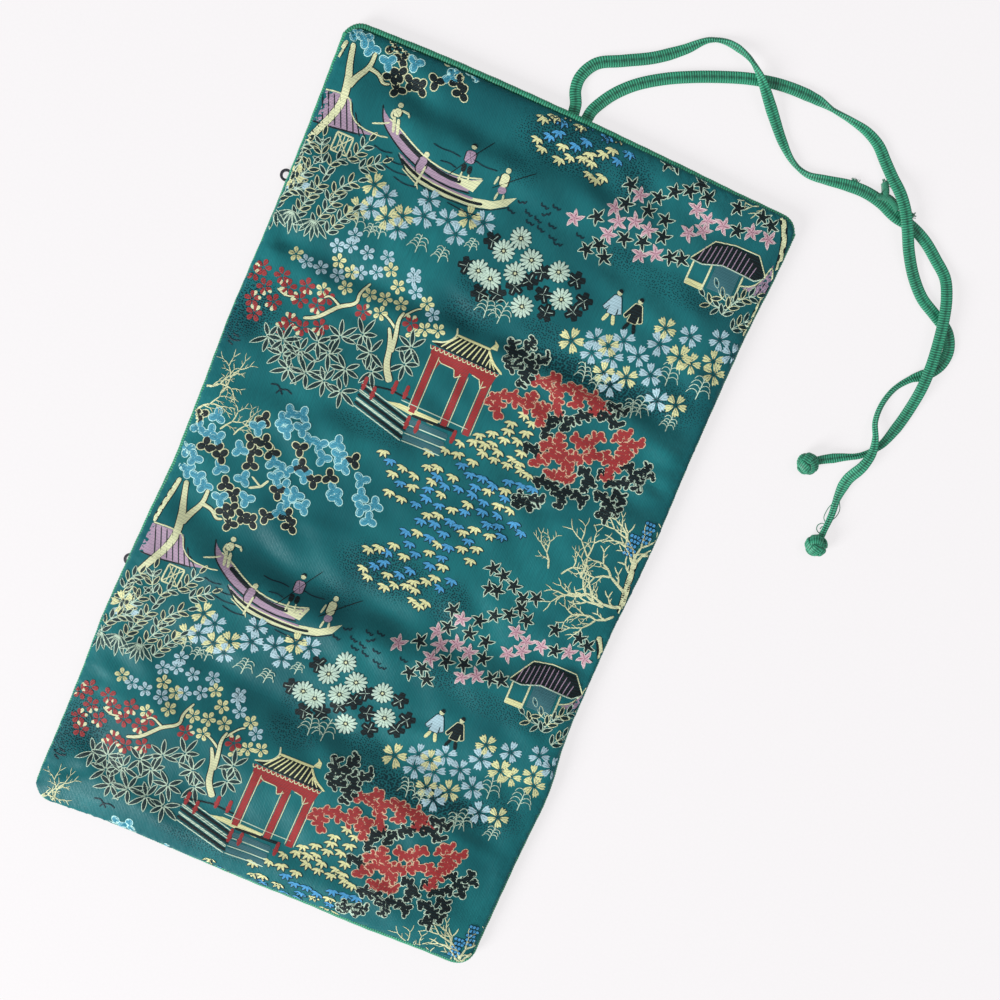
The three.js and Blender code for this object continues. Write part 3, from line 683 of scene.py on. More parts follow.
def outline_path(top, bottom, step):
    """The middle line of the binding along a patch: one line round an end, or one line on each side."""
    inner_top, inner_bottom = min(top, STRAIGHT_Y), max(bottom, -STRAIGHT_Y)
    count = int((inner_top - inner_bottom) / step) + 1
    up = np.linspace(inner_bottom, inner_top, count)
    left = np.column_stack([left_edge(up) + BEAD, up])
    right = np.column_stack([right_edge(up[::-1]) - BEAD, up[::-1]])
    if top <= END_Y and bottom >= -END_Y:
        return [left, right]
    sign = 1 if top > END_Y else -1
    end = tie_edge if sign > 0 else far_edge
    start, stop = (left, right) if sign > 0 else (right, left)
    radius = BEND_RADIUS
    first, last = start[-1], stop[0]
    end_y = [float(end(p[0])) - sign * BEAD for p in (first, last)]
    turns = np.linspace(0, math.pi / 2, int(radius * 1.57 / step) + 2)
    side = -sign

    def upright(x, low, high):
        y = np.linspace(low, high, max(2, int(abs(high - low) / step)))
        return np.column_stack([np.full(len(y), x), y])[1:]

    def corner(x, y, inwards, angles):
        return np.column_stack([
            x + inwards * (radius - radius * np.cos(angles)), y - sign * (radius - radius * np.sin(angles)),
        ])[1:]

    lead = upright(first[0], first[1], end_y[0] - sign * radius)
    near = corner(first[0], end_y[0], -side, turns)
    across_x = np.arange(near[-1][0], last[0] + side * radius, -side * step)[1:]
    blend = np.linspace(0, 1, len(across_x))
    across_y = end(across_x) - sign * BEAD
    near_gap = (near[-1][1] - across_y[0]) * (1 - smooth(blend * 8))
    far_gap = (end_y[1] - across_y[-1]) * (1 - smooth((1 - blend) * 8))
    across = np.column_stack([across_x, across_y + near_gap + far_gap])
    off = corner(last[0], end_y[1], side, turns[::-1])
    tail = upright(last[0], end_y[1] - sign * radius, last[1])[:-1]
    return [np.concatenate([start, lead, near, across, off, tail, stop])]


def bead_mesh(line, sides=12):
    """A ribbed round bead along a line in the plane, with painted shade between its ribs and a painted
    highlight on their tops.
    """
    reach = distances(line)
    at = np.append(np.arange(0, reach[-1], RIB / 4), reach[-1])
    x, y = (np.interp(at, reach, line[:, axis]) for axis in (0, 1))
    outwards = leftwards(np.column_stack([x, y]))
    ribs = np.cos(2 * math.pi * at / RIB)
    wobble = 1 + 0.05 * np.sin(at * 0.61) * np.sin(at * 0.237 + 1)
    angles = 2 * math.pi * np.arange(sides) / sides
    radius = (BEAD - 0.1 + 0.1 * ribs[:, None]) * wobble[:, None] * np.ones(sides)
    out = radius * np.cos(angles)
    points = np.stack([
        x[:, None] + outwards[:, :1] * out,
        y[:, None] + outwards[:, 1:] * out,
        BEAD_HEIGHT + radius * np.sin(angles),
    ], -1)
    # Painted shade in the hollows between the ribs and a painted highlight on the rib tops
    groove = np.repeat(np.clip(0.15 - 0.85 * ribs, 0, 1) * 0.78, sides)
    painted_highlight = np.repeat(np.clip(ribs * 1.2 - 0.3, 0, 1) * 0.7, sides)
    return points, groove, painted_highlight


def binding_patch(name, patch):
    beads = [bead_mesh(line) for line in outline_path(patch[3], patch[4], 1.0)]
    points, faces = joined([tube_mesh(rings) for rings, groove, painted_highlight in beads])
    return add_object(name, points, faces, green, floats={
        "groove": np.concatenate([groove for rings, groove, painted_highlight in beads]),
        "crown": np.concatenate([painted_highlight for rings, groove, painted_highlight in beads]),
    })


# The segments that each patch stands for, and the solids of its binding
SEGMENTS = {
    "tie": ("tie_panel", "tie_spine"), "upper": ("middle_panel",), "lower": ("end_spine",),
    "end": ("end_flap",),
}
BINDINGS = {
    "tie": ("tie_panel_binding", "tie_spine_left_binding", "tie_spine_right_binding"),
    "upper": ("middle_panel_left_binding",),
    "lower": ("middle_panel_right_binding", "end_spine_left_binding", "end_spine_right_binding"),
    "end": ("end_flap_binding",),
}
COVER_RIM = ((0.1, 0.35), (-0.15, 0.75), (-0.9, 0.95))
for patch in PATCHES:
    key = patch[0]
    length = (min(patch[3], END_Y) - max(patch[4], -END_Y)) * MM
    pad = pad_patch(f"{key}_wadding_pad", patch)
    cover = sheet_patch(
        f"{key}_cover_cloth", patch, cover_height, satin, cover_outline, rim=COVER_RIM,
        floats={"stipple": stipple},
    )
    lining = sheet_patch(
        f"{key}_lining_cloth", patch, lining_height, maroon, lining_outline, flip=True, step=2.0,
        corner=LINING_CORNER,
    )
    binding = binding_patch(f"{key}_binding_bead", patch)
    layers = (cover, "cover", "brocade"), (pad, "wadding", "wadding"), (lining, "lining", "lining")
    for obj, part, slot in layers:
        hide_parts(*(f"{segment}_{part}" for segment in SEGMENTS[key]))
        bend(obj)
    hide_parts(*BINDINGS[key])
    bend(binding)


# Woven figures of the brocade
CREAM, YELLOW, ICE, MINT = (222, 226, 180), (226, 226, 166), (178, 210, 220), (196, 222, 204)
AQUA, AQUA_EDGE, BLUE, PALE = (62, 148, 172), (186, 234, 230), (76, 158, 210), (200, 224, 200)
RED, ROSE, LILAC, PINK = (160, 46, 46), (224, 190, 156), (172, 146, 168), (212, 170, 182)
BLACK, DEEP, SLATE = (6, 16, 18), (4, 40, 50), (58, 108, 116)
# Parts of a full turn, for evenly spaced leaves and petals
THIRD, FIFTH, EIGHTH, FOURTEENTH = 2.094, 1.2566, 0.7854, 0.4488
weaver = np.random.default_rng(5)
fills, lines = [], []
# The number of the figure now drawn, which sets its height
stack = [0]


def scatter(motif, places, *style):
    for x, y in table(places):
        motif(x, y, *style)


def put(points, x, y, turn=0.0, size=1.0):
    """A shape turned, scaled and moved to its place."""
    c, s = math.cos(turn) * size, math.sin(turn) * size
    p = np.asarray(points, float)
    return np.column_stack([x + p[:, 0] * c - p[:, 1] * s, y + p[:, 0] * s + p[:, 1] * c])


def level_height(level):
    """Each figure lies a little above its neighbour, so overlapping threads never share a height."""
    return 0.04 + 0.024 * (stack[0] % 7) + 0.016 * level


def fill(points, colour, level=0, puffy=False):
    """A filled shape; a puffy one rises to its middle."""
    points = table(points) if isinstance(points, str) else points
    fills.append((np.asarray(points, float), colour, level_height(level), puffy))


def line(points, colour, width=0.45, level=2, closed=False, curved=False):
    """A stroke with one width, or with widths at even places along it."""
    points = table(points) if isinstance(points, str) else points
    points = np.asarray(points, float)
    if closed:
        points = np.concatenate([points, points[:2]])
    for _ in range(2 if curved else 0):
        near, far_off = points[:-1] * 0.75 + points[1:] * 0.25, points[:-1] * 0.25 + points[1:] * 0.75
        points = np.concatenate([points[:1], np.stack([near, far_off], 1).reshape(-1, 2), points[-1:]])
    lines.append((points, colour, level_height(level), width))


def capped(points, width, more=0.0):
    """A stroke with round ends, more wide on every side than its width: its line and its widths."""
    points = np.asarray(points, float)
    radius = width / 2 + more
    first = (points[0] - points[1]) / max(1e-6, np.hypot(*(points[0] - points[1])))
    last = (points[-1] - points[-2]) / max(1e-6, np.hypot(*(points[-1] - points[-2])))
    points = np.concatenate([[points[0] + first * radius], points[1:-1], [points[-1] + last * radius]])
    reach = np.hypot(*np.diff(points, axis=0).T).sum()
    inwards = np.minimum(np.linspace(0, reach, 24), np.linspace(reach, 0, 24)) / radius
    return points, 2 * radius * np.sqrt(1 - (1 - np.clip(inwards + 0.03, 0, 1)) ** 2)


def outlined(points, colour, edge, width=0.36, level=0, puffy=True):
    fill(points, colour, level, puffy)
    line(points, edge, width, level + 1, closed=True)


def disc(x, y, radius, count=10, wave=0.0, lobes=1, turn=0.0):
    a = 2 * math.pi * np.arange(count) / count
    r = radius * (1 + wave * np.cos(lobes * a))
    return put(np.column_stack([r * np.cos(a), r * np.sin(a)]), x, y, turn)


def blade(x, y, turn, length, width, start=0.0):
    """A lens-shaped leaf or petal that points along its turn."""
    t = np.array([0, 0.18, 0.45, 0.75, 1, 0.75, 0.45, 0.18])
    side = np.array([0, 0.34, 0.5, 0.36, 0, -0.36, -0.5, -0.34])
    return put(np.column_stack([start + t * length, side * width]), x, y, turn)


def petal(x, y, turn, length, width, start=0.0):
    """A round-ended petal."""
    t = np.array([0, 0.2, 0.55, 0.85, 1, 1, 0.85, 0.55, 0.2])
    side = np.array([0, 0.26, 0.48, 0.42, 0.16, -0.16, -0.42, -0.48, -0.26])
    return put(np.column_stack([start + t * length, side * width]), x, y, turn)


def ray(x, y, turn, near, far_off):
    """Two places on a ray from a point."""
    return [(x + out * math.cos(turn), y + out * math.sin(turn)) for out in (near, far_off)]


def jitter(amount):
    return weaver.uniform(-amount, amount)


def clover(x, y, colour, edge):
    """Three round leaves."""
    stack[0] += 1
    turn = weaver.uniform(0, 2.1)
    for k in range(3):
        a = turn + k * THIRD
        middle = ray(x, y, a, 0, 1.85)[1]
        fill(disc(*middle, 1.98, 12, 0.12, 2, a), edge)
        fill(disc(*middle, 1.6, 12, 0.12, 2, a), colour, 1, True)
        line(ray(x, y, a, 0.9, 2.7), DEEP, 0.3, 2)
        if colour is AQUA:
            line(put(table("-0.7,-0.8 0.4,-1.05 1.1,-0.4"), *middle, a), AQUA_EDGE, 0.24, 2)


def umbrella_leaf(x, y, colour):
    """Four fingers that hang from one point, over their dark shadow."""
    stack[0] += 1
    lean, size = jitter(0.3), 1 + jitter(0.08)
    fingers = (-2.75, 3.1), (-1.98, 3.3), (-1.22, 3.3), (-0.45, 3.0)
    for grow, tone, raised in ((0.7, (5, 44, 54), 0), (0, colour, 1.2)):
        for turn, reach in fingers:
            shape = blade(0.2 * math.cos(turn), 1.1, turn, reach + 0.4 * grow, 1.12 + grow)
            fill(put(shape, x + 0.15 * grow, y - 0.2 * grow, lean, size), tone, raised)


def cherry(x, y, colour):
    """Five notched petals."""
    stack[0] += 1
    shape = table(
        "0.14,0 0.4,-0.16 0.7,-0.29 1,-0.28 0.86,-0.12 1.04,-0.03 0.86,0.08 0.98,0.28 0.7,0.3 0.4,0.17"
    )
    turn = weaver.uniform(0, 1.26)
    size = 5.0 * (1 + jitter(0.08))
    for k in range(5):
        a = turn + k * FIFTH + jitter(0.07)
        fill(put(shape, x, y, a, size), colour, 0, True)
        line(ray(x, y, a, 0.3, 2.2), DEEP, 0.3, 2)
        for side in (-0.16, 0.15):
            line(ray(x, y, a + side, 2.4 + jitter(0.4), 3.9 + jitter(0.5)), SLATE, 0.2, 2)


def blossom(x, y, colour, size=3.1, inner=DEEP):
    """Five round petals."""
    stack[0] += 1
    turn = weaver.uniform(0, 1.26)
    for k in range(5):
        a = turn + k * FIFTH
        fill(petal(x, y, a, size * 0.84, size * 0.62, size * 0.16), colour, 0, True)
        line(blade(x, y, a, size * 0.5, 0.1, size * 0.3)[[0, 4]], inner, 0.26, 2)


def red_blossom(x, y):
    blossom(x, y, RED, 3.5, (96, 20, 28))
    turn = weaver.uniform(0, 6.28)
    for k in range(2):
        fill(petal(x, y, turn + 0.9 * k, 2.3, 1.6, 1.5), CREAM, 1, True)


def chrysanthemum(x, y):
    stack[0] += 1
    fill(disc(x, y, 4.4, 18), (12, 60, 62), 0)
    turn = weaver.uniform(0, 0.4)
    for k in range(14):
        fill(petal(x, y, turn + k * FOURTEENTH, 3.6 + jitter(0.35), 1.28, 1.05), MINT, 1, True)
    for k in range(8):
        fill(petal(x, y, turn + 0.2 + k * EIGHTH, 1.7, 0.85, 0.7), PALE, 2.5, True)
    fill(disc(x, y, 1.15, 10, 0.25, 5), BLACK, 4)
    fill(disc(x, y, 0.6, 8, 0.2, 4), CREAM, 5)


def veined_leaf(x, y):
    """A dark five-lobed leaf with light veins, which lies under the flowers."""
    stack[0] = 0
    turn = weaver.uniform(0, 6.28)
    a = 2 * math.pi * np.arange(20) / 20
    r = 3.5 * (1 + 0.24 * np.cos(5 * a)) * (1 + 0.1 * np.cos(10 * a + 3.14))
    fill(put(np.column_stack([r * np.cos(a), r * np.sin(a)]), x, y, turn), BLACK, 0, True)
    for k in (-1, 0, 1):
        b = turn + k * FIFTH
        line([ray(x, y, turn, 0, -1.6)[1], (x, y), ray(x, y, b, 0, 3)[1]], MINT, 0.4, 1)


def star(x, y, colour, edge, veins=None):
    """A five-pointed maple leaf."""
    stack[0] += 1
    a = 2 * math.pi * np.arange(20) / 20
    r = 1.3 + 2.8 * np.maximum(0, np.cos(2.5 * a) ** 2) ** 1.3
    turn = weaver.uniform(0, 1.26)
    r = r * (1 + 0.1 * np.sin(a * 3 + turn * 9))
    a = a + 0.3 * r / 4
    outlined(put(np.column_stack([r * np.cos(a), r * np.sin(a)]), x, y, turn), colour, edge, 0.32)
    for k in range(5 if veins else 0):
        line(ray(x, y, turn + k * FIFTH, 0, 2.6), veins, 0.28, 2)


def lance_fan(x, y, turn=None, spread=4.6, length=6.8, width=2.0, colour=(8, 40, 42)):
    """Six long leaves that spread from one point."""
    stack[0] += 1
    turn = weaver.uniform(0, 6.28) if turn is None else turn
    for k in range(6):
        a = turn + spread * (k / 5 - 0.5)
        outlined(blade(x, y, a, length * (1 + jitter(0.2)), width, 0.4), colour, PALE, 0.3)


def frond(x0, y0, x1, y1, curve):
    """A stem with pairs of outlined leaves."""
    stack[0] += 1
    start, end = np.array((x0, y0)), np.array((x1, y1))
    along = end - start
    across = np.array((-along[1], along[0]))
    t = np.linspace(0, 1, 9)[:, None]
    stem = start + along * t + across * curve * 4 * t * (1 - t)
    line(stem, PALE, 0.36, 0)
    reach = float(np.hypot(*along))
    count = max(2, int(reach / 2.9))
    for k in range(count + 1):
        share = k / count
        x, y = start + along * share + across * curve * 4 * share * (1 - share)
        heading = math.atan2(along[1], along[0]) + math.atan(curve * 4 * (1 - 2 * share))
        for side in ((0,) if k == count else (-1, 1)):
            leaf = blade(x, y, heading + side * 0.72, 4.8, 1.9, 0.3)
            outlined(leaf, (6, 40, 42), CREAM if k % 2 else PALE, 0.3)


def grass(x, y, lean, count, reach):
    """A stem from which long leaves arch over to both sides."""
    stack[0] += 1
    stem = [(x, y - 1), (x + 0.2 * lean * reach, y + 0.5 * reach), (x + lean * reach, y + reach)]
    line(stem, PALE, 0.4, 1, curved=True)
    for k in range(count):
        side = 1 if k % 2 else -1
        share = 0.15 + 0.8 * k / count
        foot_x, foot_y = x + lean * reach * share ** 2, y + reach * share
        out = reach * (0.62 - 0.25 * share) + jitter(0.6)
        blade_line = ((0, 0), (0.35, 0.3), (0.8, 0.22), (1, -0.2))
        line([(foot_x + side * u * out, foot_y + v * out) for u, v in blade_line], PALE, 0.3, 1, curved=True)


def coral(stems, colour, edge):
    """Knobbly branching leaf masses: a light edge shows round each branch."""
    stack[0] += 1
    for number, stem in enumerate(stems.split("|")):
        points = np.array(table(stem))
        strokes = [(points, 2.9)]
        reach = distances(points)
        for k, at in enumerate(np.arange(0.4, reach[-1] + 0.3, 2.15)):
            p, q = np.column_stack([np.interp((at, at + 1), reach, points[:, axis]) for axis in (0, 1)])
            along = q - p if at + 1 < reach[-1] else points[-1] - points[-2]
            heading = math.atan2(along[1], along[0])
            a = heading + (1 if k % 2 else -1) * (1.2 + jitter(0.35))
            size = 2.1 + jitter(0.5)
            tip = p + size * np.array((math.cos(a), math.sin(a)))
            hook = tip + 0.7 * np.array((math.cos(a + jitter(1.4)), math.sin(a + jitter(1.4))))
            strokes.append((np.array([p, tip, hook]), 1.85 + jitter(0.2)))
        level = 1.7 * (number % 4)
        for more, tone, raised in ((0.22, edge, level), (0, colour, level + 0.8)):
            for points, width in strokes:
                path, broad = capped(points, width, more)
                line(path, tone, broad, raised)


def wood(text, widths):
    """A branch or trunk with a dark edge."""
    stack[0] += 1
    line(text, BLACK, np.array(widths) + 0.7, -2, curved=True)
    line(text, CREAM, np.array(widths, float), 1, curved=True)


def waved(*strokes, width=0.5):
    """Thin dark waves, or birds, that lie lowest of all in their figure."""
    for stroke in strokes:
        line(stroke, DEEP, width, 0, curved=True)


def twig(x, y, turn, length, width, depth):
    """A bare branch that forks on itself."""
    curve = jitter(0.4)
    middle = ray(x, y, turn, 0, 0.5 * length)[1]
    tip = ray(*middle, turn + curve, 0, 0.5 * length)[1]
    line([(x, y), middle, tip], CREAM, np.array((width, 0.7 * width)), 1)
    if depth:
        for side in (-1, 1):
            fork = side * (0.5 + jitter(0.25))
            twig(*tip, turn + curve + fork, length * (0.74 + jitter(0.1)), width * 0.72, depth - 1)
        fork = 0.9 if curve > 0 else -0.9
        twig(*middle, turn + fork, length * 0.5, width * 0.6, depth - 1 if depth < 3 else 1)


# Tree canopy, drawn where the second repeat shows it whole
AQUA_CLOVERS = (
    "-94.6,-2.8 -89,-2.8 -85.5,-4 -95.8,-13 -91.2,-15.3 -87.2,-22.1 -92.4,-21 -83.3,-24.4 -79.9,-14.8 "
    "-75.3,-4.5 -69.6,-15.3 -65.1,-22.7 -75.3,-26.7 -60.5,-4 -56,-6.2 -51.5,-2.8 -46.9,-4 -57.1,-9.6 "
    "-52.6,-11.9 -46.9,-13 -42.4,-16.5 -49.2,-16.5 -50.3,-22.1 -33.3,-5.1 -31,-7.4 -21.9,-2.8 -19.6,-7.4 "
    "-15.1,-4 -15.1,-10.8 -61.7,17.6 -57.1,18.7 -63.4,13.6 -60.5,10.2 -54.9,13.6 -50.3,10.2 -45.8,10.2 "
    "-39,13.6 -36.7,9 -42.4,5.6 -33.3,5.6 -71.9,6.8 -89,4.5 -24.2,3.4"
)
BLACK_CLOVERS = (
    "-95.8,2.3 -89,-8.5 -84.4,-8.5 -81.6,-10.2 -71.9,0.6 -69.6,-2.8 -69.1,-8.5 -62.8,-0.5 -49.2,-1.1 "
    "-42.4,-4.5 -36.7,-0.5 -54.3,-14.8 -75.3,-20.4 -70.8,-23.3 -54.9,-26.1 -46.9,-22.7 -44.1,-26.1 "
    "-71.9,-31.2 -69.6,-29 -64,-30.1 -60,-30.7 -67.9,-35.2 -70.8,10.8 -30.4,9.6 -52.6,5.6 -66.8,2.2"
)
# Umbrella-shaped leaves below the red maple, drawn where the first repeat ends
YELLOW_LEAVES = (
    "27.2,54.5 31.8,52.8 23.8,49.4 31.2,48.2 23.8,46 29,43.7 18.2,42.6 23.8,42 13.6,39.7 19.9,38.6 "
    "32.4,39.7 12.5,36.3 17,36.9 23.3,36.3 30.1,35.8 17.6,33.5 23.3,32.9 29,32.9 33.5,35.2 35.2,32.9 "
    "38.6,32.3 7.4,33.5 2.8,28.4 8.5,28.9 15.3,28.4 32.4,22.7 2.8,20.4 10.2,19.3 26.1,19.8 32.4,15.9 "
    "37.5,15.9 2.8,14.2 8.5,10.8 20.4,11.3 15.3,6.8 10.8,2.2 27.2,2.8 34.1,2.8 6.8,0.6 23.3,-0.3 31.2,-4.5 "
    "25.5,-6.8 5.7,-7.9 15.3,-9.1 30.7,-10.2 13.6,-13.6 -1.2,-16.7 21,-17 4.5,-19.3 19.9,-22.7 17,-25.5 "
    "1.1,-29.2 12.5,-27.8 10.2,-30.4 14.2,-30.7 5.3,-32.1 1.7,-34.6 20.4,-34.1 15.1,-35.2 18.2,-36.3 "
    "-11.7,3.1 -6,2.6 -6.6,-20.1 -10.5,-22.4 -9.4,-30.7 -6.3,-33.3 -20.2,17.6 -10.5,14.7 -4.9,13.6 "
    "-13.4,10.8 -3.7,9 -3.2,25 -0.9,19.3"
)
BLUE_LEAVES = (
    "11.9,25.5 16.5,23.2 21.6,23.8 26.7,22.7 32.4,26.7 38,27.2 42.6,27.8 20.4,19.3 33.5,19.8 14.2,15.9 "
    "20.4,15.9 26.1,14.7 4,17 8.5,14.7 2.8,10.8 27.2,10.8 33.5,11.9 41.5,11.3 45.4,9 3.4,6.8 9.6,6.2 "
    "20.4,7.9 31.2,6.8 35.8,7.9 38.6,4.5 16.5,1.7 20.4,1.1 0.5,2.9 10.8,-1.7 5.1,-2.8 15.9,-4 26.7,-2.8 "
    "11.3,-7.9 19.9,-8.5 1.1,-9.6 4.5,-13.6 19.3,-13.6 8.5,-16.5 15.9,-18.7 26.7,-21.2 -2.9,-20.4 -2.3,-25 "
    "9.1,-23.8 5.7,-27.2 23.3,-25.8 -5.4,-27.8 -16.2,15.3 -8.8,8.5"
)
scatter(clover, AQUA_CLOVERS, AQUA, AQUA_EDGE)
scatter(clover, BLACK_CLOVERS, BLACK, CREAM)
scatter(umbrella_leaf, YELLOW_LEAVES, YELLOW)
scatter(umbrella_leaf, BLUE_LEAVES, BLUE)
line("-59.5,-12 -61.5,-15.5 -66,-18", CREAM, 1.0, 0)
line("-62,-15.5 -66.5,-13", CREAM, 0.8, 0)

# Left: roof, window, trunks
fill(
    "-101.5,143 -94,144 -87.2,143.9 -86,140.5 -84,137 -79.9,134.6 -72,134.9 -79.5,132.8 -90,131.2 "
    "-101.5,130",
    LILAC,
)
for x in np.arange(-100, -80, 2.7):
    line([(x, 143.4 - max(0, x + 87) * 1.1), (x + 5, 131.8)], BLACK, 0.55, 1)
line("-101.5,143.5 -94,144.6 -87.4,144.2 -85.6,139 -81,135.4 -72,135 -68,136", CREAM, 0.6, 2, curved=True)
line("-101.5,130 -90,130.8 -79.5,132.4", BLACK, 0.6, 1)
line("-87.6,122.4 -80.6,122.4 -80.6,130.2 -87.6,130.2", CREAM, 0.7, 1, closed=True)
for x0, y0, x1, y1 in table(
    "-87.4,122.6,-80.8,130 -87.4,130,-80.8,122.6 -84.1,122.4,-84.1,130.2 -85.6,122.4,-85.6,130 "
    "-82.6,122.4,-82.6,130"
):
    line([(x0, y0), (x1, y1)], CREAM, 0.45, 2)
wood(
    "-95.2,165 -93.6,157 -91.2,150.5 -90.1,142.5 -91.8,135.7 -94.8,129 -97.8,122",
    (1.9, 2.3, 3, 3.1, 3, 2.8, 2.6),
)
wood("-98,165 -99.4,157 -100.6,150 -101.4,144", (1.6, 2, 1.8, 1.6))
wood("-85.5,165 -85.6,158.6 -88.6,153 -90.4,148", (1.4, 1.8, 2.4, 3))
wood("-85.5,158.4 -81,157.8 -78.2,154.6 -75.6,155.8", (1.6, 1.5, 1.3, 0.9))
wood("92.6,172 97,164 98.8,157 100,150 100.8,144", (2.2, 2.2, 2, 1.8, 1.6))
wood("98.5,138 98.8,130 98,121", (1.6, 1.8, 1.6))
fill("89.2,138.3 94.6,142.6 97.4,152.4 99.6,145 101.5,146 101.5,137.4", LILAC)
line("87.5,138.6 93.2,140.6 96,146 97.4,152.6 99.6,145.6 101.8,145", CREAM, 0.6, 2, curved=True)
for x in (93.4, 95.8, 98.2):
    line([(x, 137.8), (x + 1.6, 144.6)], BLACK, 0.5, 1)
for stem in table(
    "-79,121,-74.5,131.5 -74,120,-66.5,126 -85,112,-80,121.5 -100,113,-94,123 -97,103,-91.5,114 "
    "-100,92,-91,103.5 -90,92,-85.5,109 -82,92,-77,105 -80,103,-72.5,115 -76,91,-70,103 "
    "-98.5,119,-100.5,107 -88,116,-92,126 86,125,96,138 84,127.5,76.5,129 92,121,98,128 88,131,80,134"
):
    frond(*stem, 0.1 + jitter(0.12))
scatter(lance_fan, "-92.4,94 -82.7,94 -100,92", -1.57, 1.9, 8.4, 1.9, (14, 60, 60))
scatter(grass, "-66,98 -56,98", -0.2, 5, 6)

# Boats and their featureless figures
stack[0] += 1
fill(
    "-74.6,146.6 -72.4,141.4 -68.5,138 -60.5,133.2 -51.5,130 -44,128.4 -37,128.2 -30,129.2 -26.6,135.6 "
    "-32,133.2 -41,132.4 -50,133.8 -58,137 -64.5,140.4 -69.5,142.6 -72.6,144.6",
    LILAC,
)
line("-64,139 -56,135.2 -48,132.6 -40,131.2 -34,131.6", BLACK, 1.7, 1, curved=True)
line("-70,143 -64.5,141 -58,137.6 -50,134.4 -41,133 -33,133.8 -26.4,136", CREAM, 0.6, 2, curved=True)
line(
    "-74.6,147 -72.4,141 -68.5,137.6 -60.5,132.8 -51.5,129.6 -44,128 -37,127.8 -29,128.8", BLACK, 0.6, 1,
    curved=True,
)
line("-76,138.6 -71.6,140.4 -69.5,141.6", CREAM, 0.7, 2)
fill("-36,130.6 -28,129.8 -25.9,135.8 -30,133.8 -36,132.8", CREAM, 1)
stack[0] += 1
fill(
    "-61.7,132.4 -56,126.8 -49.2,124.3 -37.8,123.4 -26.5,124.2 -18.5,126.4 -13,130 -10.6,134.8 -14.5,132.6 "
    "-19,129.6 -28,127.6 -38,127.2 -49,128 -55,129.6",
    CREAM,
)
line("-60,130.4 -54,127.6 -48,126 -38,125.2 -28,125.6 -22.5,126.8", BLACK, 1.2, 1, curved=True)
line("-61,132 -54,128.8 -46,127.4 -36,126.9 -27,127.4", LILAC, 0.8, 1, curved=True)
line(
    "-61.7,131.6 -56,126.2 -49.2,123.6 -37.8,122.8 -26.5,123.6 -18.5,125.8 -12.6,129.6", BLACK, 0.4, 1,
    curved=True,
)
line("-58,127 -50,123.4 -49,121.8", CREAM, 0.5, 2)
# Each boatman: the place of the head, a dark hat or none, and strokes as a line, a colour and a width
BOATMEN = (
    ((-67.9, 149.6), CREAM, (
        ("-68,148 -67.8,144.6", CREAM, 3.0), ("-69.6,147 -70,144.6 -68.6,143.4", CREAM, 0.9),
        ("-66.6,147.8 -63.6,147.6 -62.8,146.2", CREAM, 0.9), ("-68.4,144.4 -66.8,138.6", CREAM, 1.3),
        ("-66.6,144.2 -64.9,138.4", CREAM, 1.3), ("-68.8,146.6 -66.6,144.8", BLACK, 0.3),
    )),
    ((-50.8, 135.9), CREAM, (
        ("-51,134.6 -51.7,131.6 -51.6,128.8", LILAC, 3.4), ("-49.6,131.6 -50.5,122.6", CREAM, 0.9),
        ("-52.8,133.6 -53.4,130 -52.6,127.8", BLACK, 0.35), ("-49.2,134 -49,130.6", BLACK, 0.35),
    )),
    ((-34.3, 146.4), BLACK, (
        ("-34.3,144.4 -34,139.4", LILAC, 4.0), ("-35.4,144.2 -33,140", BLACK, 0.35),
        ("-35.2,138.6 -35,135.6", BLACK, 2.0), ("-32.8,138.6 -32.4,135.6", BLACK, 1.9),
        ("-35.1,135.4 -35.2,131.6", CREAM, 0.8), ("-32.2,135.4 -31.2,131.8", CREAM, 0.8),
        ("-39.8,132.2 -27.6,151.6", BLACK, 0.34),
    )),
    ((-17.8, 143.1), CREAM, (
        ("-18,141.6 -17.7,136.4", CREAM, 3.4), ("-17.8,136.4 -16.8,133.8", LILAC, 3.4),
        ("-18.4,133.6 -18.8,130.4", CREAM, 0.9), ("-16,133.8 -15.4,130.8", CREAM, 0.9),
        ("-20.6,139.6 -21.2,136", CREAM, 0.9), ("-21.4,134.4 -7,146.7", BLACK, 0.34),
    )),
)
for head, hat, strokes in BOATMEN:
    stack[0] = 5
    line(strokes[0][0], BLACK, strokes[0][2] + 0.8, 0)
    for text, colour, width in strokes:
        line(text, colour, width, 2 if width > 0.5 else 3)
    fill(disc(*head, 1.15), CREAM, 2, True)
    if hat is BLACK:
        fill(put(disc(0, 0, 1.2)[:6], head[0], head[1] + 0.3), BLACK, 3, True)
waved(
    "-50,141 -46,140.4 -42,141 -38,140.4", "-33,141.6 -28,140.6 -22,141.2", "-66,129 -62,127.6 -58,128.4",
    "-66,125.6 -61,124.4 -55,125", "-60,122.6 -55,121.4 -50,122.2", "-45,136 -41,136.6 -38,135.8",
    "-72,131 -68,130 -64,131", "-36,121.8 -28,121 -22,122",
)
for x, y in table(
    "-8,134 -4,131 1,136 3,133.4 7,130 -2,127.6 3,127 9,125.6 12,124.2 0.5,130 5.6,137.4 19,131 -11,129"
):
    waved(put(table("-1.8,0.6 -0.8,-0.6 0.4,0.5 1.2,-0.5 1.9,0.8"), x, y, jitter(0.5)), width=0.7)

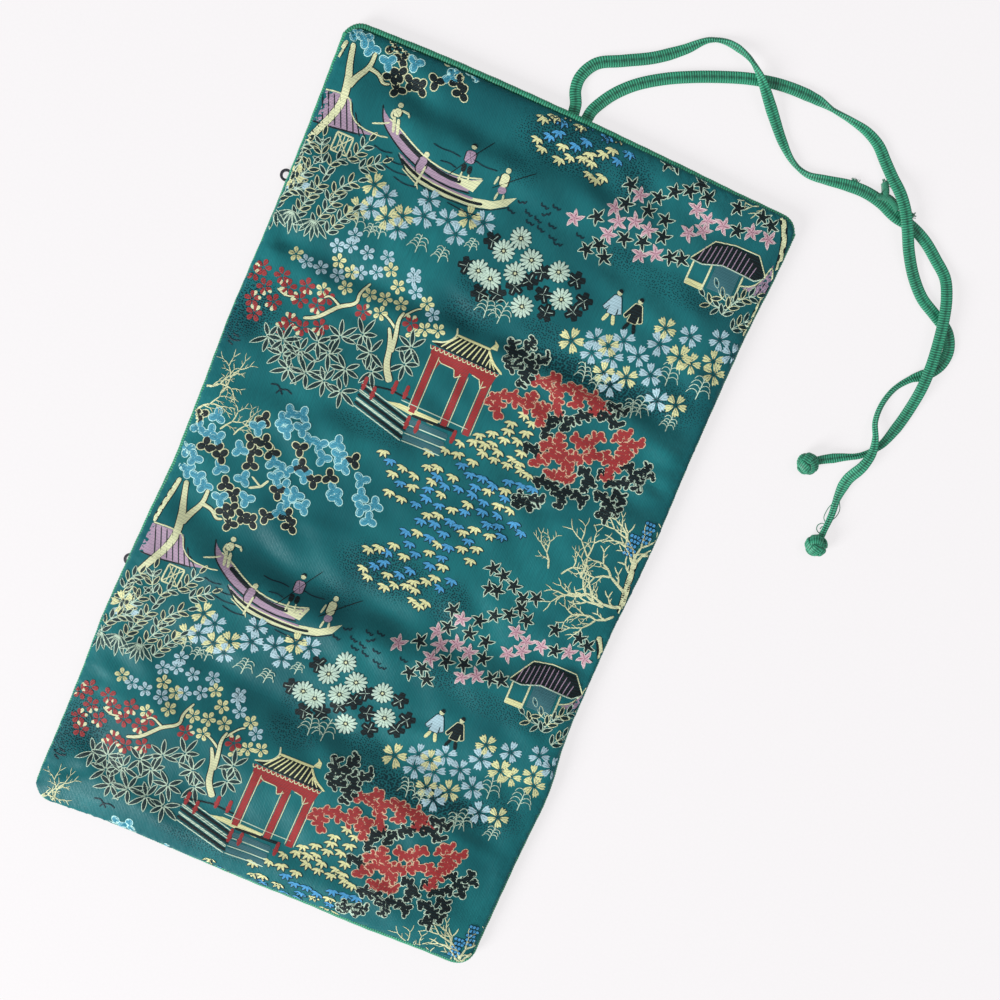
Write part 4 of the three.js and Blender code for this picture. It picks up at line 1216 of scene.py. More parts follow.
# Blossoms and leaves
scatter(cherry, (
    "-97.5,107.3 -65.7,116.4 -67.9,105 -56,106.1 -50.3,109.5 -25.3,119.8 66.5,110.7 76.7,102.2 "
    "81.8,101.6 90.3,106.1 92.6,101.6 47.7,94.8 32.9,90.8 50.5,84 83.5,83.5 60,86"
), YELLOW)
scatter(cherry, (
    "-94.6,105 -59.4,114.1 -63.4,107.3 -50.3,103.9 -42.9,119.8 -42.4,113 -32.7,115.2 -27.6,111.3 "
    "-19.1,120.3 77.3,111.8 89.2,115.2 67,103.9 96.6,111.8 52.8,99.3 42,95.3 60.8,95.9 68.7,90.8 "
    "42.6,89.7 55.1,80.6 75.5,82.3 51,91"
), ICE)
scatter(
    chrysanthemum,
    "-2.6,120.5 -7.1,113 0.8,106.5 -13.4,101.6 -7.7,100.5 4.9,114.1 17,114.1 22.4,104.4 8.7,95.3",
)
scatter(veined_leaf, (
    "-12.8,115 -18.5,101.6 -2.6,96 -9.4,93.6 25,114 10.8,111.3 31.2,107.3 7.4,106.1 14.8,103.3 29,101.6 "
    "18.7,97 2.8,101.6"
))
scatter(star, (
    "30.1,158.4 42.6,158.4 47.7,163 53.4,165.8 56.8,170.3 61.3,166.4 40.9,172.6 74.4,167.5 85.2,168.1 "
    "89.8,166.4 77.8,159 31.2,150.5 40.9,151.6 48.8,151 50.5,144.2 22.4,140.8 36.3,137.4 43.7,139.1 "
    "56.8,138 61.3,139.1 23.8,127.2 27.8,131.1 31.8,127.2 40.9,-9 46,-10.2 51.7,-12.5 46,-17 57.4,-15.9 "
    "62.5,-13.6"
), BLACK, PALE)
scatter(star, (
    "35.2,156.1 27.8,147 31.2,142.5 37.5,145.3 43.7,144.2 29.5,136.3 14.2,136.8 44.9,134 50.5,136.8 "
    "59.6,149.9 64.8,153.3 59,160.1 64.8,157.8 71.6,158.4 83.5,160.7 90.9,160.7"
), PINK, (226, 208, 204), (132, 56, 74))
scatter(blossom, (
    "-46.3,87.7 -67.4,82.7 -41.2,82.7 -27.6,81.2 -84.4,78.4 -60.5,73.8 -50.3,75 -44.1,76.1 -37.3,76.7 "
    "-43.5,69.8 -68.5,69.3 -28.2,67.6 -24.2,71 -19,72.7 -61,80.6"
), YELLOW)
scatter(blossom, (
    "-65,94.8 -57.7,90.2 -49.5,91.9 -36.7,89.7 -70.2,88 -65,90.3 -57.7,81.8 -51.5,84.6 -36.5,88 "
    "-33.6,83.5 -23.6,77.8 -79.3,77.2 -73,77.2 -65.7,77.2"
), ICE)
scatter(red_blossom, (
    "-94.6,68.1 -97.5,64.7 -91.2,61.3 -94,54.5 -85.5,56.8 -86.1,68.1 -82.1,64.7 -75.3,68.1 -75.9,61.9 "
    "-68.5,62.5 -66.2,67 -50.3,67.6 -30.4,71 -76.5,52.2 -70.8,51.7 -64,55 -91.2,49.4 -77.6,48.3"
))
wood(
    "-71.9,55.6 -66.8,57.9 -62.3,63 -60,65.9 -53.4,69.6 -54.6,73.8 -52,79.5",
    (1.1, 1.4, 1.5, 1.5, 1.3, 1.1, 0.8),
)
wood("-60,66 -65,68.5 -67,66.6", (1, 0.8, 0.7))
wood("-86,62.6 -82,61 -78,62.4", (0.7, 0.7, 0.6))
wood("-29.3,45.4 -33.3,51.1 -34.4,57.9 -36.1,62.5 -38,66", (2.8, 2.6, 2.2, 1.8, 1.1))
wood("-33.4,57 -34.2,64 -35.6,70 -34.6,74", (1.9, 1.7, 1.4, 1))
wood("-34.6,66 -39.6,69.4 -42.6,70", (1.1, 0.9, 0.7))
wood("-35,71.4 -31,77 -28.6,78.4", (0.9, 0.7, 0.6))
scatter(lance_fan, (
    "-46.9,59 -54.9,54.5 -41.2,53.4 -62.8,48.8 -48,43.1 -57.1,46.5 -74.2,38.6 -82.1,42.9 -69.6,34 -62.3,35.2 "
    "-54.3,35.2 -46.3,34 -37.8,46.5 -26.5,54.5 -26.5,62 -68,43 -76,44"
))
for x, y, lean, reach in table(
    "-40,99,0,7 -30,99,0.1,6 -20,108,0.1,5 76,90,-0.1,9 90,90,0,9 -4,86,-0.2,8 2,86,0.1,9 44,78,-0.3,7 "
    "50,77,0.1,6 70,74,0.2,8 68,72,-0.2,7 84,73,0.1,6 -60,97,0,5"
):
    grass(x, y, lean, 7, reach)

# House and strolling figures
stack[0] += 1
fill("64.4,141 71.6,151 80,152.6 90.3,152.7 96,145.9 92.6,143.1 77.8,143.6 69.9,140.8", BLACK)
line("64.4,141.2 71.4,151.4 80,153.2 90.5,153.3 96.4,146", CREAM, 0.5, 1)
line("64.4,140.8 69.9,140.6 77.8,143.4 92.6,142.9 96.2,145.6", PALE, 0.5, 2)
for k in range(12):
    x, low, high = 68.6 + 2.05 * k, 141.4 + min(1.8, 0.25 * k), 148 + min(4, 0.9 * k) - max(0, k - 8) * 1.2
    line([(x - 1.2, low), (x, high)], LILAC, 0.4, 2)
line("66.2,131 66.2,140.6", CREAM, 0.8, 1)
line("73.8,131 73.8,141.8", CREAM, 0.8, 1)
fill("66,130.9 74,130.9 74,133.4 66,133.4", YELLOW, 1)
fill("75.4,132.6 86,132.6 86,143.4 75.4,143.4", SLATE)
line("87.6,133 87.6,142.6", CREAM, 0.8, 1)
line("86.4,133.4 90.4,134", CREAM, 1.0, 1)
COAT = table("-1.6,-1.4 1.4,-1.4 4.2,-8 2.4,-9 1.8,-6 2,-9.6 -2.2,-9.6 -1.8,-6 -3.2,-8.6 -4.6,-7.8")
stack[0] += 1
for x, coat, trousers in ((43.5, ICE, YELLOW), (52.8, BLACK, BLACK)):
    edge = DEEP if coat is ICE else CREAM
    outlined(put(COAT, x, 116.6), coat, edge, 0.35)
    line([(x - 1, 107), (x - 2.4, 103.4)], trousers, 1.5, 1)
    line([(x + 1, 107), (x + 2.4, 103.2)], trousers, 1.5, 1)
    fill(disc(x, 116.4, 1.15), CREAM, 1, True)
    fill(disc(x + 0.2, 117.1, 1.0), BLACK, 2, True)

# Red and black maple
for stems, colour in (
    ("11,73 16,78 22,76 27,80|16,78 19,84|14,76 10,81|22,76 21,69|13,71 18,73", BLACK),
    ("24,69 30,71.5 36,68 40,61|30,71.5 34,75|36,68 38,72", RED),
    ("40,74 46,72 52,73 59,70|46,72 45,67|52,72.6 54,67.4", RED),
    ("47,62 52,66 58,69 64,66|58,73 65,72|44,56 46,61", BLACK),
    ("66,62 71,60 77,63|71,60 74,56|67,64 70,64", RED), ("72,57 70,51 69,44|70,51 64,53", RED),
    ("39,47 46,48 52,46 58,49|46,48 44,53|42,43 47,45 54,42|58,49 63,52", RED),
    ("53,53 58,56 60,60|56,54 50,54", RED), ("45,37 50,36 56,38|50,36 52,41|38,38 42,41", RED),
    ("74,53 80,50 86,53|80,50 84,45|84,56 82,52", BLACK),
    ("66,46 72,43 78,46|68,37 74,36 79,32|74,36 76,30 72,29|75,41 80,38", BLACK),
    ("42,32 48,33 54,31 60,34|54,31 56,26|60,34 64,31|58,44 64,41 62,36", BLACK),
    ("37,22 42,23.6 48,25|42,23 45,20|38,19.6 41,22", BLACK),
    ("11,54 14,58 20,60.4 26,59 31,61|14,58 17,50|27,59 27.5,64.5", RED),
    ("31,61 34,58 34,54|35,62 33,58", RED), ("38,50 38.5,58 43,60|33,44 38,43 44,45|20,66 22,70", BLACK),
):
    coral(stems, colour, ROSE if colour is RED else PALE)

# Pavilion and its terrace
stack[0] = 1
for y0, y1, tone in ((34.2, 31.8, BLACK), (30.6, 28.6, BLACK), (27.2, 25.4, BLACK)):
    line([(-39.5, y0 + 5.2), (-16, y0 - 0.8), (-15.4, y0 - 1)], tone, 1.3, 0)
    line([(-39.5, y0 + 3.7), (-16, y0 - 2.2)], PALE, 0.5, 1)
    line([(-39.5, y0 + 6.6), (-16, y0 + 0.6)], PALE, 0.5, 1)
    line([(-15.6, y0 - 0.4), (1.5, y0 - 0.1)], SLATE, 2.2, 0)
    line([(-15.6, y0 - 2), (1.5, y0 - 1.6)], PALE, 0.45, 1)
line("-15.6,36.4 4.5,37.4", BLACK, 1.2, 1)
line("-22,40.6 8,40.2", PALE, 0.4, 0)
fill("-28.4,37.6 -22,39 -3.4,38.8 -6,36 -16,36.4", YELLOW, 1)
line("-39,40.6 -28,42.6 -18,42", BLACK, 0.8, 0)
for x0, x1, top in ((-17.6, -14.9, 66), (-3.3, -0.6, 63), (6.6, 9.4, 64)):
    fill([(x0, 37.5), (x1, 37.5), (x1, top), (x0, top)], RED, 2)
    for x in (x0 - 0.5, x1 + 0.5):
        line([(x, 38), (x, top - 3)], CREAM, 0.36, 3)
fill(
    "-18.8,66.4 10.6,66 9.4,59 6,57.6 4.6,61 -0.6,62 -3,59 -5.4,57.4 -6.6,60.6 -13,61 -14.2,57.6 -17.6,58",
    RED, 1,
)
line("-14.2,62 -13,61 -6.8,60.8 -5.6,57.6 -3,59.4", CREAM, 0.4, 3)
line("0.8,61.6 4.4,61 6,57.8 8,59.4", CREAM, 0.4, 3)
for k in range(15):
    x = -18.6 + 2.05 * k
    line([(x - 1, 66.4), (x - 0.5, 65), (x + 0.4, 65), (x + 1, 66.4)], CREAM, 0.36, 3)
fill("-19.4,67.6 -13.4,70 -10.6,74 3.6,74 6.4,70 11.6,66.8 8,66.2 -16,66.8", BLACK, 3)
line("-19.6,67.8 -13.8,69.6 -10.8,73.6 -12,76.8", CREAM, 0.7, 3, curved=True)
line("-11,74.2 4,74.2", YELLOW, 1.0, 3)
line("3.4,73.6 6.6,69.6 12,66.6", YELLOW, 0.9, 3, curved=True)
for k in range(9):
    line([(-15.4 + 2.3 * k, 67.2), (-10.2 + 1.75 * k, 73.6)], YELLOW, 0.55, 3)
for x in (4.6, 6.6, 8.6):
    line([(x, 67), (5.2, 70.6)], YELLOW, 0.5, 3)
fill("3.4,74.4 4.8,77 4.2,78.4 6.4,77 6.6,74.6", YELLOW, 3)
for x, y in table("-38.4,40.9 -33.8,38.5 -26.5,44.3 -21.3,44.3 -16.2,33 -11.7,33 3.7,35"):
    line([(x, y - 3), (x, y + 3)], RED, 1.6, 3)
    line([(x - 1.2, y - 0.8), (x + 1.2, y - 0.8)], RED, 0.9, 3)

# Bare branches and small birds
stack[0] += 1
for x, y, turn, length, width, depth in table(
    "-99,14,0.3,7,1,3 -98,4,0.9,6,0.9,3 -91,14,1.3,7,0.8,3 -86,0,1,6,0.8,3 -80,0,1.2,6,0.7,3 "
    "96,6,1.7,10,1.7,3 95,16,1.25,9,1.3,3 94,18,2.2,9,1.2,3 96,3,2.7,9,1.4,3 62,0,1.9,7,0.9,3 "
    "68,0,1,6,0.8,3 76,2,1.5,9,1,3 98,-3,3.5,9,1.5,3 90,-6,3.1,9,1.2,3 80,-5,3.6,8,0.9,2 96,-8,3.9,8,1.2,3 "
    "86,-12,3.3,7,0.8,2"
):
    twig(x, y, turn, length, width, depth)
wood("97.6,-6 96.6,2 95.4,10 94.8,18", (2.2, 2.6, 2.4, 1.6))
for x, y in table("94.3,30 90.3,22.7"):
    for row in range(5):
        for k in range(3):
            outlined(disc(x - 1.5 + 1.5 * k + 0.7 * (row % 2), y + 4 - 2 * row, 0.95, 7), BLUE, DEEP, 0.28)
waved(
    "-74,25.4 -71,26.4 -69.6,24.6 -67,26 -64.4,24.8", "-70.6,22.6 -69.6,25 -68,23",
    "-98,37 -95.2,35.6 -92,37", "-97,35 -94.4,34", "-96,38.4 -93,38", width=0.7,
)


# The figures as raised threads on the cover
LEFT_DRIFT = ((-176, -150, -114, -95, -75, -50, -15), (-2, -1.8, -0.5, 0, 2.5, 4.3, 4.5))
RIGHT_DRIFT = ((-176, -150, -114, -75, -50, -15), (1, 1, 1.5, 1.4, 1, 0.9))


def drifted(points, shift):
    """The cloth was cut and stretched a little unevenly, so the second repeat isn't quite above the first."""
    moved = points + (0, shift)
    if shift == 0:
        return moved
    sign = 1 if shift < 0 else -1
    at = moved[:, 1] if shift < 0 else points[:, 1]
    left, right = np.interp(at, *LEFT_DRIFT), np.interp(at, *RIGHT_DRIFT)
    moved[:, 0] += sign * (left + (right - left) * np.clip((points[:, 0] + 80) / 160, 0, 1))
    return moved


def fill_mesh(points, puffy):
    """A filled shape as points, faces and a lift at each point."""
    if puffy:
        middle = points.mean(0)
        count = len(points)
        faces = [(k, (k + 1) % count, count) for k in range(count)]
        return np.vstack([points, middle]), faces, [0.0] * count + [0.08]
    faces = tessellate_polygon([[Vector((*p, 0)) for p in points]])
    return points, [tuple(face) for face in faces], [0.0] * len(points)


def line_mesh(points, width):
    """A stroke as a strip that is highest along its middle."""
    reach = distances(points)
    total = max(reach[-1], 1e-6)
    rounded = np.size(width) > 9
    at = np.linspace(0, total, max(3, int(total / (0.42 if rounded else 1.0)) + 1 + len(points) // 2))
    middle = np.column_stack([np.interp(at, reach, points[:, axis]) for axis in (0, 1)])
    widths = np.atleast_1d(np.asarray(width, float))
    half = np.interp(at / total, np.linspace(0, 1, len(widths)), widths) / 2
    half[[0, -1]] *= 1 if rounded else 0.55
    side = leftwards(middle) * half[:, None]
    made = np.stack([middle + side, middle, middle - side], 1).reshape(-1, 2)
    return made, grid_faces(len(at), 3), np.tile((0.0, 0.07, 0.0), len(at))


def gather(items, make):
    """All figures of one kind at every repeat, as triangles with a colour and a lift at each point."""
    points, faces, tones, lifts, start = [], [], [], [], 0
    for shift in (REPEAT, 0, -REPEAT):
        for shape, colour, height, style in items:
            shape = drifted(shape, shift)
            if shape[:, 1].max() < -END_Y - 1 or shape[:, 1].min() > END_Y + 1:
                continue
            made, made_faces, raised = make(shape, style)
            tint = 1 + weaver.uniform(-0.07, 0.07)
            points.append(made)
            lifts.append(np.asarray(raised) + height)
            tones.append(np.tile([c * tint for c in linear(*colour)[:3]] + [1], (len(made), 1)))
            for first, *others in made_faces:
                faces += [(first + start, b + start, c + start) for b, c in zip(others, others[1:])]
            start += len(made)
    return np.concatenate(points), np.array(faces), np.concatenate(tones), np.concatenate(lifts)


def halved(points, faces, tones, lifts, longest):
    """Splits every face with an edge longer than this, so that large shapes follow the cover."""
    for _ in range(6):
        corner = points[faces]
        edges = np.linalg.norm(corner - np.roll(corner, -1, axis=1), axis=2)
        side = edges.argmax(1)
        split = edges.max(1) > longest
        if not split.any():
            break
        chosen, at = faces[split], side[split]
        rows = np.arange(len(chosen))
        a, b, c = chosen[rows, at], chosen[rows, (at + 1) % 3], chosen[rows, (at + 2) % 3]
        middle = len(points) + rows
        points = np.concatenate([points, (points[a] + points[b]) / 2])
        tones = np.concatenate([tones, tones[a]])
        lifts = np.concatenate([lifts, (lifts[a] + lifts[b]) / 2])
        faces = np.concatenate([faces[~split], np.stack([a, middle, c], 1), np.stack([middle, b, c], 1)])
    return points, faces, tones, lifts


def thread_material():
    """Loose weft threads of many colours lying over the satin."""
    shade = Shade("brocade_thread", Roughness=0.55, Specular_IOR_Level=0.22)
    place = shade.attribute("cloth")
    y = shade.node("ShaderNodeSeparateXYZ", {0: place}).outputs[1]
    weft = waves(shade, y, WEFT)
    fibre = shade.noise(shade.stretched(place, (0.1, 1, 1)), 4200, 3)
    worn = shade.noise(place, 240, 3)
    colour = shade.attribute("thread", "Color")
    floats = waves(shade, shade.math("ADD", y, shade.math("MULTIPLY", worn, 0.0016)), FLOATS)
    colour = shade.mix(shade.ranged(weft, -1, 0.6, 0.22, 0.0), colour, linear(6, 44, 50))
    colour = shade.mix(shade.ranged(floats, 0.5, 1, 0.0, 0.26), colour, linear(10, 70, 78))
    colour = shade.mix(shade.ranged(fibre, 0.3, 0.75, 0.0, 0.3), colour, linear(205, 205, 205), "MULTIPLY")
    shade.to("Base Color", colour)
    shade.to("Roughness", shade.ranged(fibre, 0.2, 0.8, 0.42, 0.66))
    shade.bump(shade.math("ADD", shade.math("MULTIPLY", weft, 0.6), fibre), 0.00012, 0.6)
    return shade.material


threads = thread_material()
for kind, items, make in (("figures", fills, fill_mesh), ("outlines", lines, line_mesh)):
    points, faces, tones, lifts = halved(*gather(items, make), 1.7)
    inside = edge_distance(points[:, 0], points[:, 1]) > 0.25
    faces = faces[inside[faces].all(1)]
    corner = points[faces]
    area = np.cross(corner[:, 1] - corner[:, 0], corner[:, 2] - corner[:, 0])
    faces = np.where((area < 0)[:, None], faces[:, ::-1], faces)[np.abs(area) > 1e-7]
    middle = points[faces].mean(1)[:, 1]
    heights = cover_height(points[:, 0], points[:, 1]) + lifts
    for patch in PATCHES:
        mine = faces[(middle <= patch[3]) & (middle > patch[4])]
        used, index = np.unique(mine, return_inverse=True)
        raised, triangles = np.column_stack([points[used], heights[used]]), index.reshape(-1, 3).tolist()
        obj = add_object(
            f"{patch[0]}_brocade_{kind}", raised, triangles, threads, colours={"thread": tones[used]},
        )
        bend(obj)


# Ties
STRAP_RIB, STRAP_WIDTH, STRAP_THICKNESS, STRAP_SIDES = 1.02, 4.9, 1.5, 22
KNOT_RADIUS, KNOT_REACH, KNOT_INSET, KNOT_RIB, KNOT_FLAT, KNOT_SIDES = 4.9, 4.95, 0.95, 0.95, 0.69, 14
# The middle lines of the two ties, as x,y,z
LEFT_TIE = table(
    "-3,176.6,2.1 -3.6,180,2.05 -6,185.4,1.4 -6.2,191.2,1.35 -2.4,198.3,1.35 7.2,203.8,1.35 "
    "18.6,210.2,1.35 28.5,218,1.35 36.4,225.6,1.35 43.5,227.7,1.5 53.5,225.1,3.8 60,220.8,4.5 "
    "65,216,4.5 73,208.3,2.4 81,200.5,1.35 88.4,194.9,1.35 95.5,192.7,1.35 104,193.8,1.35 "
    "113,195.4,1.35 121,195.9,1.35 129,194.7,1.35 137,191.9,1.35 145,190.7,1.35 152.5,187.6,1.35 "
    "160,182.5,1.35 166.6,177,2 170,169.5,3.9 172.4,161.5,4.5 174.6,151,4.4 175.9,141,4.5 "
    "176.3,131.5,4.4 176.1,121,1.7 174.3,111.5,1.35 171.3,102.7,1.35 165.6,95.9,1.35 157.5,91.5,2.2 "
    "150,87.2,3.2"
)
RIGHT_TIE = table(
    "3,176.6,2.1 3.5,180,2.05 5.6,184.7,1.4 9.4,190.5,1.35 15.8,197.1,1.35 25.7,204,1.35 36,209.4,1.35 "
    "47,214.2,1.35 58,218.2,1.35 70,221,1.35 80,221.8,1.35 88,221.6,1.35 95.5,220.6,1.35 "
    "103.5,219.8,1.35 111.5,218.3,1.35 118,215.3,1.35 123.7,210.2,1.5 128.7,205.3,2.6 133.8,200.5,4.2 "
    "138.6,195,4.5 142.8,188.3,4.5 147.7,180.6,3 154.3,172.6,1.35 161.4,165.9,1.35 169.3,161.7,1.35 "
    "177.2,157.2,1.35 180.9,150.8,1.35 180.6,144,1.35 176.8,138,1.35 171.6,133.6,1.35 166.8,127,1.35 "
    "164.6,119,1.5 164.7,111,2.8 167.2,104.4,4.4 168.5,98.6,4.5 167.2,91.7,4.6 164.2,84,2.6 "
    "163.9,76,1.35 164.5,68,1.9 163.9,59.2,3.2"
)


def blended(t, u, low, high, a, b):
    """Between a and b, as far as u lies between two knots."""
    return (t[high] - u) / (t[high] - t[low]) * a + (u - t[low]) / (t[high] - t[low]) * b


def through(points, step):
    """A centripetal curve through the points, at even steps along it, and how far along each step lies."""
    p = np.array(points, float)
    p = np.concatenate([[2 * p[0] - p[1]], p, [2 * p[-1] - p[-2]]])
    made = []
    for i in range(1, len(p) - 2):
        t = np.concatenate([[0], np.cumsum(np.sqrt(np.linalg.norm(np.diff(p[i - 1:i + 3], axis=0), axis=1)))])
        u = np.linspace(t[1], t[2], 40, endpoint=False)[:, None]
        a1, a2, a3 = (blended(t, u, k, k + 1, p[i - 1 + k], p[i + k]) for k in range(3))
        made.append(blended(t, u, 1, 2, blended(t, u, 0, 2, a1, a2), blended(t, u, 1, 3, a2, a3)))
    path = np.concatenate(made + [p[-2:-1]])
    reach = distances(path)
    at = np.linspace(0, reach[-1], int(reach[-1] / step) + 1)
    return np.stack([np.interp(at, reach, path[:, axis]) for axis in range(3)], 1), at


def strap(name, route, widths, turns):
    """A flat ribbed strap stitched along its middle, with widths and turns at shares of its length."""
    path, at = through(route, STRAP_RIB / 5)
    share = at / at[-1]
    ahead = units(np.gradient(path, axis=0))
    aside = units(np.cross((0, 0, 1), ahead))
    over = np.cross(ahead, aside)
    turn = np.radians(np.interp(share, *zip(*turns)))[:, None]
    across = aside * np.cos(turn) + over * np.sin(turn)
    upright = over * np.cos(turn) - aside * np.sin(turn)
    scale = np.interp(share, *zip(*widths))[:, None]
    angles = 2 * math.pi * (np.arange(STRAP_SIDES) + 0.5) / STRAP_SIDES
    a, b = np.cos(angles), np.sin(angles)
    flat_x = np.sign(a) * np.abs(a) ** 0.75
    middle = np.exp(-((flat_x * STRAP_WIDTH / 2 / 0.45) ** 2))
    lobes = np.sign(b) * np.abs(b) ** 0.5 * (1 - 0.22 * middle)
    slant = 0.55 * np.abs(flat_x) * STRAP_WIDTH / 2
    ribs = np.cos(2 * math.pi * at[:, None] / STRAP_RIB + slant + 0.5 * np.sign(flat_x))
    uneven = 1 + 0.18 * np.sin(at * 0.9)[:, None] * np.sin(at * 0.23 + 1)[:, None]
    out = flat_x * (STRAP_WIDTH / 2) * scale * (1 + 0.018 * np.cos(2 * math.pi * at / STRAP_RIB)[:, None])
    up = lobes * (STRAP_THICKNESS / 2) * (1 / np.sqrt(np.maximum(scale, 0.4))) * (0.86 + 0.14 * ribs)
    points = path[:, None, :] + across[:, None, :] * out[..., None] + upright[:, None, :] * up[..., None]
    points[..., 2] = np.maximum(points[..., 2], 0.06)
    # Painted shade along the middle groove where the two lobes meet, between the ribs and at the edges;
    # painted highlight on the rib tops
    middle_groove_shade = middle * (np.abs(b) > 0.3) * (0.75 + 0.25 * np.cos(at * 1.7)[:, None])
    rim = np.clip(np.abs(a) * 3.2 - 2.5, 0, 1) * 0.35
    groove = np.clip(np.clip(0.15 - 0.95 * ribs, 0, 1) * 0.72 * uneven + 0.72 * middle_groove_shade + rim, 0, 1)
    painted_highlight = np.clip(ribs * 1.3 - 0.3, 0, 1) * uneven * (1 - middle_groove_shade)
    mesh_points, faces = tube_mesh(points)
    obj = add_object(name, mesh_points, faces, green, floats={"groove": groove.ravel(), "crown": painted_highlight.ravel()})
    return obj, path[::12], at[-1]


def button_knot(name, centre, turn, tilt):
    """A woven button knot: one flat strap that goes round a ball in three leads, over and under itself."""
    t = np.linspace(0, 6 * math.pi, 900, endpoint=False)
    polar = np.cos(4 * t / 3)
    radial = (KNOT_RADIUS - KNOT_INSET) * (1 + 0.1 * np.sin(8 * t / 3))
    flat = radial * np.cos(polar)
    path = np.stack([flat * np.cos(t), flat * np.sin(t), radial * np.sin(polar)], 1)
    ahead = units(np.roll(path, -1, 0) - np.roll(path, 1, 0))
    out = units(path)
    aside = units(np.cross(ahead, out))
    sides = KNOT_SIDES
    angles = 2 * math.pi * (np.arange(sides) + 0.5) / sides
    a, b = np.cos(angles), np.sin(angles)
    ribs = np.cos(2 * math.pi * distances(path) / KNOT_RIB)[:, None] * np.ones(sides)
    wide = 2.15 * np.sign(a) * np.abs(a) ** 0.8
    thick = 0.62 * np.sign(b) * np.abs(b) ** 0.6 * (1 - 0.25 * np.exp(-((wide / 0.4) ** 2)))
    raised = thick * (0.9 + 0.1 * ribs) - wide ** 2 * 0.11
    points = path[:, None] + aside[:, None] * wide[..., None] + out[:, None] * raised[..., None]
    count = len(t) * sides
    faces = [tuple(i % count for i in face) for face in grid_faces(len(t) + 1, sides, close=True)]
    core_u, core_v = np.meshgrid(np.linspace(0, 2 * math.pi, 17)[:-1], np.linspace(-1.45, 1.45, 9))
    core = np.stack([np.cos(core_v) * np.cos(core_u), np.cos(core_v) * np.sin(core_u), np.sin(core_v)], -1)
    core = (KNOT_RADIUS - 1.6) * core
    # Painted shade at the strap's edges, along its middle and between its ribs; painted highlight on the rib
    # tops
    rim = np.clip(np.abs(a) * 3 - 2.2, 0, 1) * 0.7
    middle = np.exp(-((wide / 0.3) ** 2)) * 0.4
    groove = np.clip(np.clip(0.1 - ribs, 0, 1) * 0.55 + rim + middle, 0, 1)
    painted_highlight = np.clip(ribs * 1.2 - 0.3, 0, 1) * (1 - rim)
    rest = core.size // 3
    points, faces = joined([(points.reshape(-1, 3), faces), tube_mesh(core)])
    swing = Matrix.Rotation(math.radians(turn), 3, "Z") @ Matrix.Rotation(math.radians(tilt), 3, "X")
    points = points @ np.array(swing).T
    span = np.abs(points).max(0)
    wider = KNOT_REACH / max(span[0], span[1])
    points *= (wider, wider, KNOT_RADIUS * KNOT_FLAT / span[2])
    points = points + np.array(centre)
    points[:, 2] = np.maximum(points[:, 2], 0.1)
    # The core, seen only through the gaps between the leads, is painted almost fully in shade
    return add_object(name, points, faces, green, floats={
        "groove": np.concatenate([groove.ravel(), np.full(rest, 0.9)]),
        "crown": np.concatenate([painted_highlight.ravel(), np.zeros(rest)]),
    })


def loose_thread(points, radius):
    """A fine loose thread through a few points."""
    path, _ = through(points, 0.4)
    rings = wire_rings(path, radius, (0.1, 0.2, 1))
    rings[..., 2] = np.maximum(rings[..., 2], 0.05)
    return tube_mesh(rings)


left_knot = button_knot("left_knot_weave", (145.6, 83.6, 3.5), 20, 70)
right_knot = button_knot("right_knot_weave", (163.4, 53.4, 3.5), 100, 35)
left_tie, left_line, left_length = strap(
    "left_tie_strap", [(-2.6, 174.6, 2.4), *LEFT_TIE, (148, 85.6, 3.4)],
    widths=table(
        "0,1 0.17,1 0.2,0.78 0.232,0.3 0.25,0.55 0.262,0.6 0.288,0.3 0.305,0.6 0.33,0.92 0.35,1 0.39,0.8 "
        "0.43,0.34 0.46,0.7 0.5,1.02 0.56,1.1 0.6,1 0.88,0.95 0.9,0.75 0.925,0.5 0.95,0.55 0.975,0.85 "
        "1,0.7"
    ),
    turns=table(
        "0,0 0.19,0 0.232,55 0.262,35 0.288,60 0.33,0 0.39,0 0.43,55 0.48,0 0.9,0 0.94,35 0.98,0 1,0"
    ),
)
right_tie, right_line, right_length = strap(
    "right_tie_strap", [(2.6, 174.6, 2.4), *RIGHT_TIE, (163.7, 56.4, 3.4)],
    widths=table(
        "0,1 0.3,1 0.318,0.8 0.338,0.3 0.36,0.5 0.39,0.8 0.42,1 0.74,1 0.755,0.6 0.775,0.42 0.81,0.42 "
        "0.845,0.5 0.87,0.75 0.9,1 0.925,0.95 0.945,0.62 0.985,0.5 1,0.6"
    ),
    turns=table(
        "0,0 0.31,0 0.338,58 0.38,10 0.42,0 0.74,0 0.775,45 0.81,50 0.86,10 0.9,0 0.94,20 0.97,30 1,0"
    ),
)
# Threads pulled loose from the ties: a radius and a line for each
PULLED = (
    (0.18, "164.2,74.4,2.2 162.6,71.4,1.2 162.1,68,0.8 162.4,65.4,0.8 163.8,63.6,1.8"),
    (0.18, "165.2,74.2,2.2 167,71.4,1.1 167.1,68.6,0.8 165.9,65.6,0.8 164.6,63.6,1.8"),
    (
        0.2,
        "164.4,62.6,2.4 162.6,63.1,1.4 161.3,61.7,0.9 161.5,59.9,0.8 162.9,58.9,1.2 164.4,59.8,2.3 "
        "164.3,61.4,2.4 162.9,61.8,1.9 162.6,60.5,1.5",
    ),
    (0.17, "120.5,197.6,1.6 123.5,197.4,2.2 126.2,196.9,2.6 127.4,199,3.1 128,201.4,2.2 130,201.8,2"),
    (0.17, "126.5,196.3,2.2 129.4,197.6,2.7 132.4,197,2.6 135.2,195.2,2.2"),
    (1.7, "129.8,196.6,1.3 128.8,199.2,1.7 127.4,202,1.4 127,202.6,1.2"),
    (1.6, "126,196,1.3 130.4,197.4,1.6 133.8,196.4,1.7 136.6,194.4,1.7"),
)
loops = [loose_thread(table(route), radius) for radius, route in PULLED]

